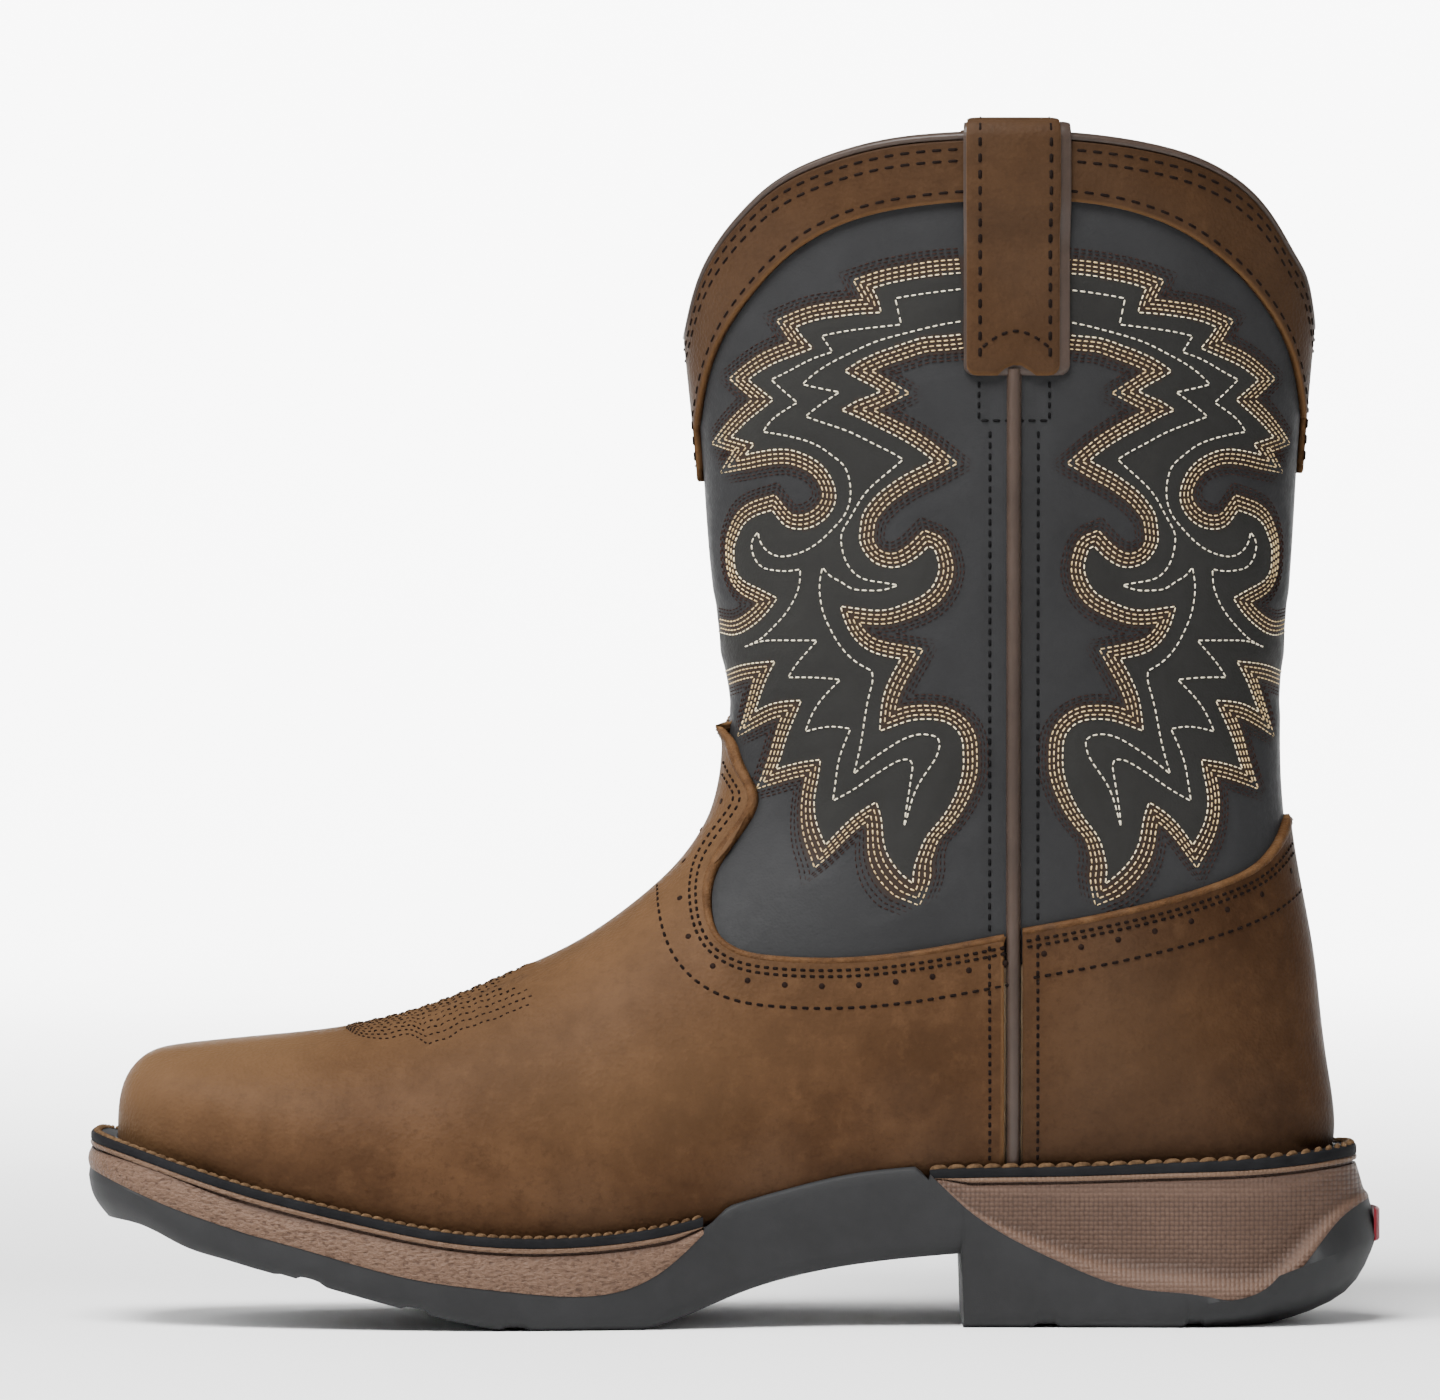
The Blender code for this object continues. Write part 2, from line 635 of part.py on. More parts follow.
def loft(name, rings, finish, closed=False):
    """A solid through rings of points, capped at both ends or joined end to end."""
    size = len(rings[0])
    points = [point for ring in rings for point in ring]
    faces = []
    spans = len(rings) if closed else len(rings) - 1
    for i in range(spans):
        j = (i + 1) % len(rings)
        for a in range(size):
            b = (a + 1) % size
            faces.append([i * size + a, i * size + b, j * size + b, j * size + a])
    if not closed:
        faces.append(list(range(size))[::-1])
        faces.append([(len(rings) - 1) * size + a for a in range(size)])
    made = add_object(name, points, faces, finish)
    face_out(made)
    return made


def face_out(made):
    """Turns a closed mesh so that its faces point out."""
    mesh = made.data
    mesh.calc_loop_triangles()
    corners = np.array([[mesh.vertices[v].co for v in t.vertices] for t in mesh.loop_triangles])
    if np.linalg.det(corners).sum() < 0:
        mesh.flip_normals()


def footprint():
    """Paired points of the feather edge, toe to heel, with plan normals and their place along the sole."""
    toe = SECTIONS[0][2]
    heel = SECTIONS[HEEL_ROW][2]
    breaks = [HEEL_BREAST_X - BREAST_STEP / 2, HEEL_BREAST_X + BREAST_STEP / 2]
    for centre in GROOVE_X:
        breaks += [centre + GROOVE_WIDTH * share for share in (-0.5, -0.3, 0.3, 0.5)]
    along = sorted(set(SOLE_STATIONS) | set(breaks))
    stretch = (INSERT_BASE_LINE[-1][0] - HEEL_OVAL_X) / (heel - HEEL_OVAL_X)
    sides = {}
    for side in (-1, 1):
        toe_points = surface(np.zeros(len(TOE_STEPS)), side * np.array(TOE_STEPS))[:, :2]
        at = np.array(along)
        base_x = np.where(at > HEEL_OVAL_X, HEEL_OVAL_X + (at - HEEL_OVAL_X) / stretch, at)
        side_points = np.column_stack([base_x, side * feather_half(base_x, side)])
        sides[side] = np.vstack([toe_points, side_points])
    front_x = SECTIONS[0][0]
    spread = (toe - TREAD_LINE[0][0]) / (toe - front_x)
    places = np.concatenate([toe - (toe - sides[-1][: len(TOE_STEPS), 0]) * spread, along])
    normals = {}
    for side in (-1, 1):
        path = np.vstack([sides[-side][0], sides[side], sides[-side][-1]])
        lead = path[2:] - path[:-2]
        lead = lead / np.linalg.norm(lead, axis=1, keepdims=True)
        normals[side] = np.column_stack([lead[:, 1], -lead[:, 0]]) * -side
    return sides, normals, places


EDGE, EDGE_NORMALS, PLACES = footprint()
TOE_END = np.clip((TOE_BEVEL_X - PLACES) / (TOE_BEVEL_X - TREAD_LINE[0][0]), 0, 1)
HEEL_END = {side: np.clip(EDGE_NORMALS[side][:, 0], 0, 1) ** HEEL_EASE * (PLACES > 0) for side in (-1, 1)}
welt_reach = table_spline(SOLE_REACH, 1)
tread_reach = table_spline(SOLE_REACH, 2)
tread_line = table_spline(TREAD_LINE, 1)
midsole_base = table_spline(MIDSOLE_BASE_LINE, 1)
insert_base = table_spline(INSERT_BASE_LINE, 1)


def tread_z(x):
    """Underside of the rubber: flat on the floor at the ball and at the heel, with grooves."""
    z = np.where(x < HEEL_BREAST_X, np.maximum(tread_line(x), 0), 0.0)
    for centre in GROOVE_X:
        share = np.clip((GROOVE_WIDTH / 2 - np.abs(x - centre)) / (0.2 * GROOVE_WIDTH), 0, 1)
        z = z + GROOVE_DEPTH * share
    return z


def sole_top(x):
    return welt_line(x) - WELT_DROP - GAP


def outsole_top(x):
    """Upper face of the rubber: under the midsole, at the shank and under the heel insert."""
    top = np.where(PLACES <= MIDSOLE_END, midsole_base(PLACES) - GAP, sole_top(x))
    return np.where(PLACES >= INSERT_START, insert_base(PLACES) - GAP, top)


def edge_ring(side, reach, height):
    """The feather edge set out by a reach, at the height that a function gives for each point's own x."""
    flat = EDGE[side] + EDGE_NORMALS[side] * np.asarray(reach)[:, None]
    return np.column_stack([flat, height(flat[:, 0])])


def layered(name, levels, keep, finish):
    """A sole layer: rings of (reach, z) functions from the top down, joined across at top and bottom."""
    rings = {side: [edge_ring(side, *level(side))[keep] for level in levels] for side in (-1, 1)}
    stations = int(np.count_nonzero(keep))
    sections = []
    for i in range(stations):
        left = [ring[i] for ring in rings[-1]]
        right = [ring[i] for ring in rings[1]]
        sections.append(left + right[::-1])
    return loft(name, sections, finish)


def blend(values, side):
    """A value given at toe, side and heel back, eased round the outline."""
    toe, flank, back = values
    return flank + (toe - flank) * TOE_END + (back - flank) * HEEL_END[side]


def make_outsole(finish):
    def level(row):
        def ring(side):
            reach = tread_reach(EDGE[side][:, 0]) - blend(row[0:3], side)
            return reach, lambda x: tread_z(PLACES) + blend(row[3:6], side) * roomy

        return ring

    thin = outsole_top(PLACES) - tread_z(PLACES)
    roomy = np.clip(thin / RUBBER_FULL, 0.3, 1.0)

    def top(side):
        reach = tread_reach(EDGE[side][:, 0]) - blend((TREAD_LEAN, TREAD_LEAN, TOP_INSET_BACK), side)
        return reach, outsole_top

    levels = [top] + [level(row) for row in reversed(OUTSOLE_LEVELS)]
    return layered("outsole", levels, np.ones(len(PLACES), bool), finish)


def lip_levels(full):
    """The stitched edge of a layer: its top, its lip and the groove under it."""

    def lip(depth, inset):
        return lambda side: (welt_reach(EDGE[side][:, 0]) - inset, lambda x: sole_top(x) - depth * full)

    return [
        lip(0.0, LAYER_EDGE),
        lip(LAYER_LIP, 0.0),
        lip(LAYER_LIP + LAYER_GROOVE / 2, LAYER_GROOVE_INSET),
        lip(LAYER_LIP + LAYER_GROOVE * 1.5, LAYER_EDGE),
    ]


def make_midsole(finish):
    def base(side):
        return tread_reach(EDGE[side][:, 0]) - TREAD_LEAN, lambda x: midsole_base(PLACES)

    full = np.clip((sole_top(PLACES) - midsole_base(PLACES)) / LAYER_FULL, 0.1, 1.0)
    return layered("midsole", lip_levels(full) + [base], PLACES <= MIDSOLE_END, finish)


def make_heel_insert(finish):
    def wall_at(share, inset):
        def height(x):
            top = sole_top(x) - (LAYER_LIP + LAYER_GROOVE * 1.5) * full
            return top + (insert_base(PLACES) - top) * share

        def ring(side):
            high = welt_reach(EDGE[side][:, 0]) - LAYER_EDGE
            low = tread_reach(EDGE[side][:, 0]) - blend((TREAD_LEAN, TREAD_LEAN, TOP_INSET_BACK), side)
            return high + (low - high) * share - inset * hollow, height

        return ring

    depth = sole_top(PLACES) - insert_base(PLACES)
    full = np.clip(depth / RUBBER_FULL, 0.1, 1.0)
    hollow = INSERT_SCOOP * np.clip((depth - RUBBER_FULL) / INSERT_FULL, 0, 1)
    levels = lip_levels(full)[:3] + [wall_at(share, inset) for share, inset in INSERT_LEVELS]
    return layered("heel_insert", levels, PLACES >= INSERT_START, finish)


def make_insole(finish):
    def level(rise):
        return lambda side: (np.full(len(PLACES), -INSOLE_INSET), lambda x: feather_z(x) + rise)

    inside = EDGE[-1][:, 0] < SECTIONS[HEEL_ROW][2] - INSOLE_INSET / 2
    inside &= np.isin(PLACES, SOLE_STATIONS) | (PLACES < SOLE_STATIONS[0])
    return layered("insole", [level(INSOLE_THICKNESS), level(0.0)], inside, finish)


def make_welt(name, keep, finish):
    """A strip round the upper's base, its inner edge clear of the leather."""
    inner = OVERLAY + GAP + WELT_CLEARANCE
    rings = {}
    for side in (-1, 1):
        near = edge_ring(side, np.full(len(PLACES), inner), feather_z)[keep]
        far = edge_ring(side, welt_reach(EDGE[side][:, 0]), feather_z)[keep]
        rings[side] = (near, far)
    rise = np.array([0, 0, WELT_THICKNESS])
    order = [(-1, i) for i in range(int(np.count_nonzero(keep)))]
    order = order[::-1] + [(1, i) for i in range(len(order))]
    if PLACES[keep][0] > 0:
        order = [(-side, len(order) // 2 - 1 - i) for side, i in order]
    sections = []
    for side, i in order:
        near, far = rings[side][0][i], rings[side][1][i]
        sections.append([near, far, far + rise, near + rise])
    return loft(name, sections, finish)


def make_piping(name, side, finish):
    """The raised cord in a side seam, from the welt to the strap."""
    half = PIPING_WIDTH / 2
    z = np.linspace(STRAP_FOOT_Z - GAP, float(welt_line(SEAM_X)) + PIPING_FOOT, PIPING_STEPS)
    shoulder = PIPING_RISE - PIPING_SHOULDER
    rising = [(-half, GAP), (-half, shoulder), (-0.4 * half, PIPING_RISE)]
    profile = rising + [(-across, rise) for across, rise in reversed(rising)]
    sections = []
    for height in z:
        sections.append([side_point(SEAM_X + across, height, side, rise) for across, rise in profile])
    return loft(name, sections, finish)


def strap_path():
    """Offset from the shaft and height along the strap's inner face, up, over the rim and down."""
    over_collar = OVERLAY + 3 * GAP
    inside = -WALL - 2 * GAP
    collar_z = float(table_spline(COLLAR_LINE, 1)(SEAM_X))
    rim_z = float(rim_line(SEAM_X))
    outer = [(2 * GAP, STRAP_FOOT_Z), (2 * GAP, STRAP_FOOT_Z + 12), (2 * GAP, collar_z - 12)]
    outer += [(over_collar * 0.5, collar_z - 7), (over_collar, collar_z - 3), (over_collar, rim_z)]
    centre = (over_collar + inside) / 2
    radius = (over_collar - inside) / 2
    crown = STRAP_TOP_Z - STRAP_LEATHER - rim_z
    turns = np.linspace(0, math.pi, STRAP_BEND_STEPS + 1)[1:]
    bend = [(centre + radius * math.cos(turn), rim_z + crown * math.sin(turn)) for turn in turns]
    down = [(inside, rim_z - 14), (inside, STRAP_INNER_FOOT_Z)]
    return np.array(outer + bend + down)


def make_strap(name, side, finish):
    inner = strap_path()
    lead = np.gradient(inner, axis=0)
    lead = lead / np.linalg.norm(lead, axis=1, keepdims=True)
    outer = inner + STRAP_LEATHER * np.column_stack([lead[:, 1], -lead[:, 0]])
    across = SEAM_X + STRAP_SHIFT + STRAP_WIDTH * np.linspace(-0.5, 0.5, STRAP_COLUMNS)
    sections = []
    for near, far in zip(inner, outer):
        ring = [side_point(x, near[1], side, near[0]) for x in across]
        ring += [side_point(x, far[1], side, far[0]) for x in across[::-1]]
        sections.append(ring)
    return loft(name, sections, finish)


def make_bead(finish):
    """The rolled binding along the top edge."""
    around = AROUND[:-1]
    stations = rim_station(around)
    path = surface(stations, around)
    normal = outward(stations, around)
    lead = np.roll(path, -1, axis=0) - np.roll(path, 1, axis=0)
    up = np.cross(lead, normal)
    up = up / np.linalg.norm(up, axis=1, keepdims=True)
    up = up * np.sign(up[:, 2:3])
    middle = (OVERLAY + GAP - WALL) / 2
    turns = np.arange(BEAD_SIDES) * 2 * math.pi / BEAD_SIDES
    rings = []
    for i in range(len(path)):
        ring = []
        for turn in turns:
            out = middle + BEAD_HALF_WIDTH * math.cos(turn)
            rise = GAP + BEAD_HALF_HEIGHT * (1 + math.sin(turn))
            ring.append(path[i] + normal[i] * out + up[i] * rise)
        rings.append(ring)
    return loft("topline_bead", rings, finish, closed=True)


def make_heel_tab(finish):
    """A small moulded piece on the back of the heel."""
    edge = np.vstack([edge_ring(side, tread_reach(EDGE[side][:, 0]), feather_z)[:, :2] for side in (-1, 1)])
    edge = edge[edge[:, 0] > HEEL_OVAL_X]
    edge = edge[np.argsort(edge[:, 1])]
    across = np.linspace(-TAB_HALF_WIDTH, TAB_HALF_WIDTH, TAB_STEPS)
    sections = []
    for y in across:
        near = float(np.interp(y, edge[:, 1], edge[:, 0])) + GAP
        far = near + TAB_THICKNESS
        low, high = TAB_LOW_Z + TAB_BEVEL, TAB_HIGH_Z - TAB_BEVEL
        sections.append([(near, y, TAB_LOW_Z), (far, y, low), (far, y, high), (near, y, TAB_HIGH_Z)])
    return loft("heel_tab", sections, finish)


def vamp_outline():
    edge = [tuple(point) for point in smooth_path(VAMP_LINE, EDGE_STEPS)]
    return [(CUT_ENDS_X[0], edge[0][1])] + edge + [(edge[-1][0], 0.0), (CUT_ENDS_X[0], 0.0)]


def counter_outline():
    edge = [tuple(point) for point in smooth_path(COUNTER_LINE, COUNTER_STEPS)]
    return edge + [(CUT_ENDS_X[1], edge[-1][1]), (CUT_ENDS_X[1], 0.0), (edge[0][0], 0.0)]


def collar_outline():
    edge = [tuple(point) for point in smooth_path(COLLAR_LINE, EDGE_STEPS)]
    front, back = CUT_ENDS_X
    return edge + [(back, edge[-1][1]), (back, CUT_TOP_Z), (front, CUT_TOP_Z), (front, edge[0][1])]


def build():
    for old in list(bpy.data.objects):
        bpy.data.objects.remove(old)
    shaft_leather = material("charcoal leather", (0.055, 0.058, 0.062), 0.62)
    brown_leather = material("brown leather", (0.19, 0.10, 0.05), 0.58)
    piping_leather = material("taupe piping", (0.17, 0.12, 0.095), 0.55)
    strap_leather = material("strap leather", (0.16, 0.085, 0.04), 0.6)
    welt_rubber = material("black welt", (0.03, 0.03, 0.033), 0.6)
    brown_rubber = material("brown midsole", (0.17, 0.10, 0.07), 0.75)
    black_rubber = material("black rubber", (0.04, 0.041, 0.043), 0.72)
    red_rubber = material("red rubber", (0.4, 0.03, 0.05), 0.5)
    insole_leather = material("insole leather", (0.3, 0.2, 0.12), 0.8)

    wall("upper", 0.0, -WALL, shaft_leather)
    outlines = {"vamp": vamp_outline(), "counter": counter_outline(), "collar": collar_outline()}
    for name, outline in outlines.items():
        piece = wall(name, OVERLAY + GAP, GAP, brown_leather)
        keep_inside(piece, prism(name + "_cutter", outline, -CUT_REACH, CUT_REACH))
    make_bead(piping_leather)
    for name, side in (("medial", -1), ("lateral", 1)):
        make_piping("side_piping_" + name, side, piping_leather)
        make_strap("pull_strap_" + name, side, strap_leather)
    make_outsole(black_rubber)
    make_midsole(brown_rubber)
    make_heel_insert(brown_rubber)
    make_insole(insole_leather)
    make_welt("welt_forefoot", PLACES <= FOREFOOT_WELT_END, welt_rubber)
    make_welt("welt_heel", PLACES >= HEEL_WELT_START, welt_rubber)
    make_heel_tab(red_rubber)


build()
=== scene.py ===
import math

import bpy
import numpy as np
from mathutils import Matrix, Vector
from mathutils.bvhtree import BVHTree


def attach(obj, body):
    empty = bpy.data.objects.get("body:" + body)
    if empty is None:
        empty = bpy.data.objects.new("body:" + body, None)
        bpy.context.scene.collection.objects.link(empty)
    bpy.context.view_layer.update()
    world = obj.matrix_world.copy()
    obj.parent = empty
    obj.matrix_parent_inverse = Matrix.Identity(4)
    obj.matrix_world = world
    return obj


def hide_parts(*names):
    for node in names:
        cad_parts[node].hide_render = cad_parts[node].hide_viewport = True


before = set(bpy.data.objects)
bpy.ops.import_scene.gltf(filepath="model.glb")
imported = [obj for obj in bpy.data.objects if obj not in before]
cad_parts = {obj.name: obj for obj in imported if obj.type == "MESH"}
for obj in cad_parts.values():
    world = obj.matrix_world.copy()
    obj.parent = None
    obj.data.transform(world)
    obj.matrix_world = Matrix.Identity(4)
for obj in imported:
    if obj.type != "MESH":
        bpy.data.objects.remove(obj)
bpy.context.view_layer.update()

# The last, in millimetres: toe to -X, medial side to -Y, floor at Z = 0
lastForm = dict(
    ballWidth=94.0,
    ballHeight=20.6,  # floor to welt line at the ball
    heelRise=17.4,  # how much higher the welt line is at the heel breast
    toeSpring=26.0,  # and at the toe
    weltDrop=3.2,  # welt line down to the lower edge of the upper
    seamX=65.8,  # where the side seams run
    centre=(0.75, 2.05, 0.0),  # middle of the boot's box in these tables
    heelRow=17,  # the first section that closes round the back
    heelOvalX=106.0,
    heelOvalCurve=2.2,
)

# Sections from the front outline to the feather edge or the back outline. Half-widths are shares of the
# ball width, and the last two columns are superellipse powers.
sections = (
    # front x, front z, back x, back z, medial, lateral, ridge y, widest, flare, front curve, back curve
    (-143.6, 43.4, -112.0, None, 0.394, 0.367, -2.5, 1.00, 0.21, 4.0, 2.4),  # toe feather
    (-143.5, 50.0, -109.0, None, 0.411, 0.387, -2.6, 0.97, 0.20, 3.9, 2.4),  # toe wall
    (-142.2, 56.5, -105.0, None, 0.426, 0.409, -2.8, 0.93, 0.18, 3.7, 2.4),  # toe brow
    (-138.6, 61.2, -100.0, None, 0.438, 0.426, -3.0, 0.89, 0.15, 3.4, 2.4),  # toe shoulder
    (-132.0, 63.4, -93.0, None, 0.453, 0.449, -3.4, 0.85, 0.11, 3.1, 2.4),  # toe top
    (-123.0, 64.5, -86.0, None, 0.464, 0.468, -3.8, 0.82, 0.07, 2.8, 2.4),  # toe box
    (-110.0, 65.8, -78.0, None, 0.474, 0.489, -4.2, 0.79, 0.03, 2.5, 2.4),  # toe box rear
    (-92.0, 67.9, -68.0, None, 0.481, 0.509, -4.6, 0.76, 0.0, 2.3, 2.5),  # joint
    (-72.0, 72.8, -58.0, None, 0.483, 0.519, -5.0, 0.74, 0.0, 2.2, 2.5),  # ball
    (-54.0, 80.0, -46.0, None, 0.477, 0.523, -5.0, 0.72, 0.0, 2.1, 2.5),  # vamp
    (-37.0, 87.8, -32.0, None, 0.462, 0.517, -4.5, 0.70, 0.0, 2.0, 2.5),  # waist
    (-23.5, 96.8, -16.0, None, 0.440, 0.498, -4.0, 0.68, 0.0, 2.0, 2.5),  # instep
    (-13.5, 105.5, 4.0, None, 0.417, 0.468, -3.0, 0.65, 0.0, 2.0, 2.4),  # high instep
    (-7.2, 113.3, 30.0, None, 0.398, 0.438, -2.0, 0.62, 0.0, 2.0, 2.4),  # throat
    (-3.5, 120.4, 62.0, None, 0.389, 0.413, -1.2, 0.58, 0.0, 2.0, 2.4),  # bend
    (-1.6, 127.5, 96.0, None, 0.389, 0.401, -0.6, 0.55, 0.0, 2.0, 2.3),  # long heel
    (-0.8, 134.2, 124.0, None, 0.393, 0.396, -0.2, 0.52, 0.0, 2.0, 2.3),  # short heel
    (-0.5, 141.0, 138.4, None, 0.397, 0.398, 0.0, 0.50, 0.0, 2.0, 2.2),  # heel seat
    (-1.0, 149.5, 138.9, 62.0, 0.401, 0.401, 0.0, 0.50, 0.0, 2.0, 2.2),  # heel
    (-2.6, 158.0, 135.9, 87.0, 0.404, 0.404, 0.0, 0.50, 0.0, 2.0, 2.2),  # counter
    (-3.9, 166.5, 131.3, 113.0, 0.406, 0.406, 0.0, 0.50, 0.0, 2.0, 2.1),  # ankle
    (-4.8, 175.5, 129.6, 139.0, 0.411, 0.411, 0.0, 0.50, 0.0, 2.0, 2.0),  # shaft foot
    (-5.6, 185.0, 130.9, 163.0, 0.417, 0.417, 0.0, 0.50, 0.0, 2.0, 2.0),  # low shaft
    (-6.3, 195.0, 132.5, 186.0, 0.426, 0.426, 0.0, 0.50, 0.0, 2.0, 2.0),  # shaft
    (-7.0, 205.0, 133.6, 205.0, 0.434, 0.434, 0.0, 0.50, 0.0, 2.0, 2.0),  # high shaft
    (-10.8, 245.0, 136.8, 245.0, 0.453, 0.453, 0.0, 0.50, 0.0, 2.0, 2.0),  # collar
    (-11.8, 292.0, 137.4, 292.0, 0.462, 0.462, 0.0, 0.50, 0.0, 2.0, 2.0),  # above the rim
)
weltTable = (
    # x, share of toe spring, share of heel rise
    (-150.0, 0.985, 0.0),
    (-145.6, 0.935, 0.0),
    (-118.8, 0.595, 0.0),
    (-91.7, 0.33, 0.0),
    (-64.7, 0.125, 0.0),
    (-43.0, 0.08, 0.0),
    (-26.7, 0.04, 0.115),
    (-10.5, 0.01, 0.32),
    (3.3, 0.0, 0.56),
    (14.4, 0.0, 0.735),
    (25.6, 0.0, 0.885),
    (42.0, 0.0, 1.0),
    (75.8, 0.0, 1.05),
    (103.6, 0.0, 1.10),
    (125.8, 0.0, 1.15),
    (148.0, 0.0, 1.28),
)
featherPlan = (
    # x, medial, lateral, as shares of the ball width
    (-112.0, 0.394, 0.367),
    (-98.0, 0.432, 0.419),
    (-84.0, 0.455, 0.457),
    (-70.0, 0.466, 0.487),
    (-56.0, 0.464, 0.504),
    (-40.0, 0.447, 0.506),
    (-24.0, 0.419, 0.491),
    (-8.0, 0.387, 0.466),
    (10.0, 0.353, 0.432),
    (30.0, 0.326, 0.394),
    (50.0, 0.311, 0.362),
    (70.0, 0.304, 0.336),
    (90.0, 0.302, 0.317),
    (106.0, 0.302, 0.302),
)
# Edges in the side view
rimTable = (
    (-10.4, 229.0), (-7.5, 241.5), (-3.7, 251.0), (2.0, 259.0), (9.0, 266.0), (21.0, 272.6), (36.0, 276.8),
    (52.0, 278.4), (66.5, 278.8), (81.0, 278.2), (97.0, 276.0), (109.0, 272.6), (118.0, 267.6),
    (126.0, 259.0), (131.5, 250.0), (134.8, 241.5), (136.8, 229.0),
)
collarTable = (
    (-9.6, 199.0), (-7.4, 212.0), (-5.6, 222.5), (-1.7, 233.2), (4.2, 242.0), (13.0, 251.4), (26.8, 259.4),
    (45.0, 263.4), (65.8, 264.6), (86.4, 263.4), (105.0, 257.4), (116.7, 249.2), (125.0, 240.0),
    (131.0, 229.0), (134.2, 214.0), (136.2, 201.0),
)
vampTable = (
    (-4.0, 146.4), (0.4, 138.6), (3.0, 131.4), (6.0, 124.0), (3.4, 117.6), (-0.6, 112.0), (-4.2, 105.4),
    (-5.0, 97.8), (-3.0, 91.6), (1.6, 88.4), (9.0, 87.0), (27.6, 86.8), (46.0, 89.0), (63.6, 92.4),
)
counterTable = (
    (67.9, 93.8), (86.4, 97.2), (102.7, 101.0), (115.0, 104.8), (123.4, 109.0), (128.0, 114.4),
    (131.4, 122.8),
)


def spline(knots, values):
    # a natural cubic through the knots, straight beyond them
    knots = np.asarray(knots, float)
    values = np.asarray(values, float)
    step = np.diff(knots)
    slope = np.diff(values) / step
    count = len(knots)
    matrix = np.eye(count)
    right = np.zeros(count)
    for i in range(1, count - 1):
        matrix[i, i - 1 : i + 2] = (step[i - 1], 2 * (step[i - 1] + step[i]), step[i])
        right[i] = 6 * (slope[i] - slope[i - 1])
    bend = np.linalg.solve(matrix, right)
    first = slope[0] - step[0] * bend[1] / 6
    final = slope[-1] + step[-1] * bend[-2] / 6

    def value(at):
        at = np.asarray(at, float)
        inside = np.clip(at, knots[0], knots[-1])
        i = np.clip(np.searchsorted(knots, inside) - 1, 0, count - 2)
        a = (knots[i + 1] - inside) / step[i]
        b = 1 - a
        curve = a * values[i] + b * values[i + 1]
        curve = curve + ((a**3 - a) * bend[i] + (b**3 - b) * bend[i + 1]) * step[i] ** 2 / 6
        return curve + np.minimum(at - knots[0], 0) * first + np.maximum(at - knots[-1], 0) * final

    return value


def tableSpline(table, column):
    return spline([row[0] for row in table], [row[column] for row in table])


def pathLength(points):
    return np.concatenate([[0], np.cumsum(np.linalg.norm(np.diff(points, axis=0), axis=1))])


def pathAt(points, along, where):
    # places on a path, by length
    return np.column_stack([np.interp(where, along, column) for column in points.T])


def smoothPath(points, spacing):
    points = np.asarray(points, float)
    along = pathLength(points)
    at = np.linspace(0, along[-1], max(2, int(math.ceil(along[-1] / spacing)) + 1))
    if len(points) < 3:
        return pathAt(points, along, at)
    return np.column_stack([spline(along, column)(at) for column in points.T])


def smoothStep(low, high, value):
    share = np.clip((value - low) / (high - low), 0, 1)
    return share * share * (3 - 2 * share)


def lastUnder(low, high, under, rounds=30):
    # halves the way from low to high down to the place where under stops being true
    for _ in range(rounds):
        middle = (low + high) / 2
        below = under(middle)
        low = np.where(below, middle, low)
        high = np.where(below, high, middle)
    return low


toeShare = tableSpline(weltTable, 1)
heelShare = tableSpline(weltTable, 2)
rimLine = tableSpline(rimTable, 1)
featherSides = {-1: tableSpline(featherPlan, 1), 1: tableSpline(featherPlan, 2)}


def weltLine(x):
    return lastForm["ballHeight"] + lastForm["toeSpring"] * toeShare(x) + lastForm["heelRise"] * heelShare(x)


def featherZ(x):
    return weltLine(x) - lastForm["weltDrop"]


def featherHalf(x, side):
    ovalX = lastForm["heelOvalX"]
    power = lastForm["heelOvalCurve"]
    before = np.minimum(x, ovalX)
    half = np.where(side < 0, featherSides[-1](before), featherSides[1](before))
    share = np.clip((x - ovalX) / (sections[lastForm["heelRow"]][2] - ovalX), 0, 1)
    return lastForm["ballWidth"] * half * (1 - share**power) ** (1 / power)


sectionRows = np.array([
    [float(featherZ(row[2])) if cell is None else cell for cell in row] for row in sections
])
knots = (pathLength(sectionRows[:, 0:2]) + pathLength(sectionRows[:, 2:4])) / 2
columnNames = ("frontX", "frontZ", "backX", "backZ", "medial", "lateral", "ridge", "widest", "flare",
               "frontCurve", "backCurve")
lastAt = {name: spline(knots, sectionRows[:, i]) for i, name in enumerate(columnNames)}
heelStation = knots[lastForm["heelRow"]]


def sectionEnds(station):
    backX = lastAt["backX"](station)
    backZ = np.where(station < heelStation, featherZ(backX), lastAt["backZ"](station))
    return lastAt["frontX"](station), lastAt["frontZ"](station), backX, backZ


def sectionShape(station, side):
    bulge = lastForm["ballWidth"] * np.where(side < 0, lastAt["medial"](station), lastAt["lateral"](station))
    widest = np.clip(lastAt["widest"](station), 0.3, 1.0)
    edge = np.where(station < heelStation, featherHalf(lastAt["backX"](station), side), 0.0)
    edgeShare = np.clip(edge / bulge, 0, 0.992)
    backCurve = lastAt["backCurve"](station)
    full = np.maximum(1 - edgeShare**backCurve, 1e-9) ** (1 / backCurve)
    return bulge, widest, edgeShare, (1 - widest) / full, lastAt["frontCurve"](station), backCurve


def sectionSplit(station, side):
    # share of the way round a section at which it is widest
    frontX, frontZ, backX, backZ = sectionEnds(station)
    bulge, widest, edgeShare = sectionShape(station, side)[:3]
    length = np.hypot(backX - frontX, backZ - frontZ)
    upper = np.hypot(widest * length, bulge)
    lower = np.hypot((1 - widest) * length, bulge * (1 - edgeShare))
    return upper / (upper + lower)


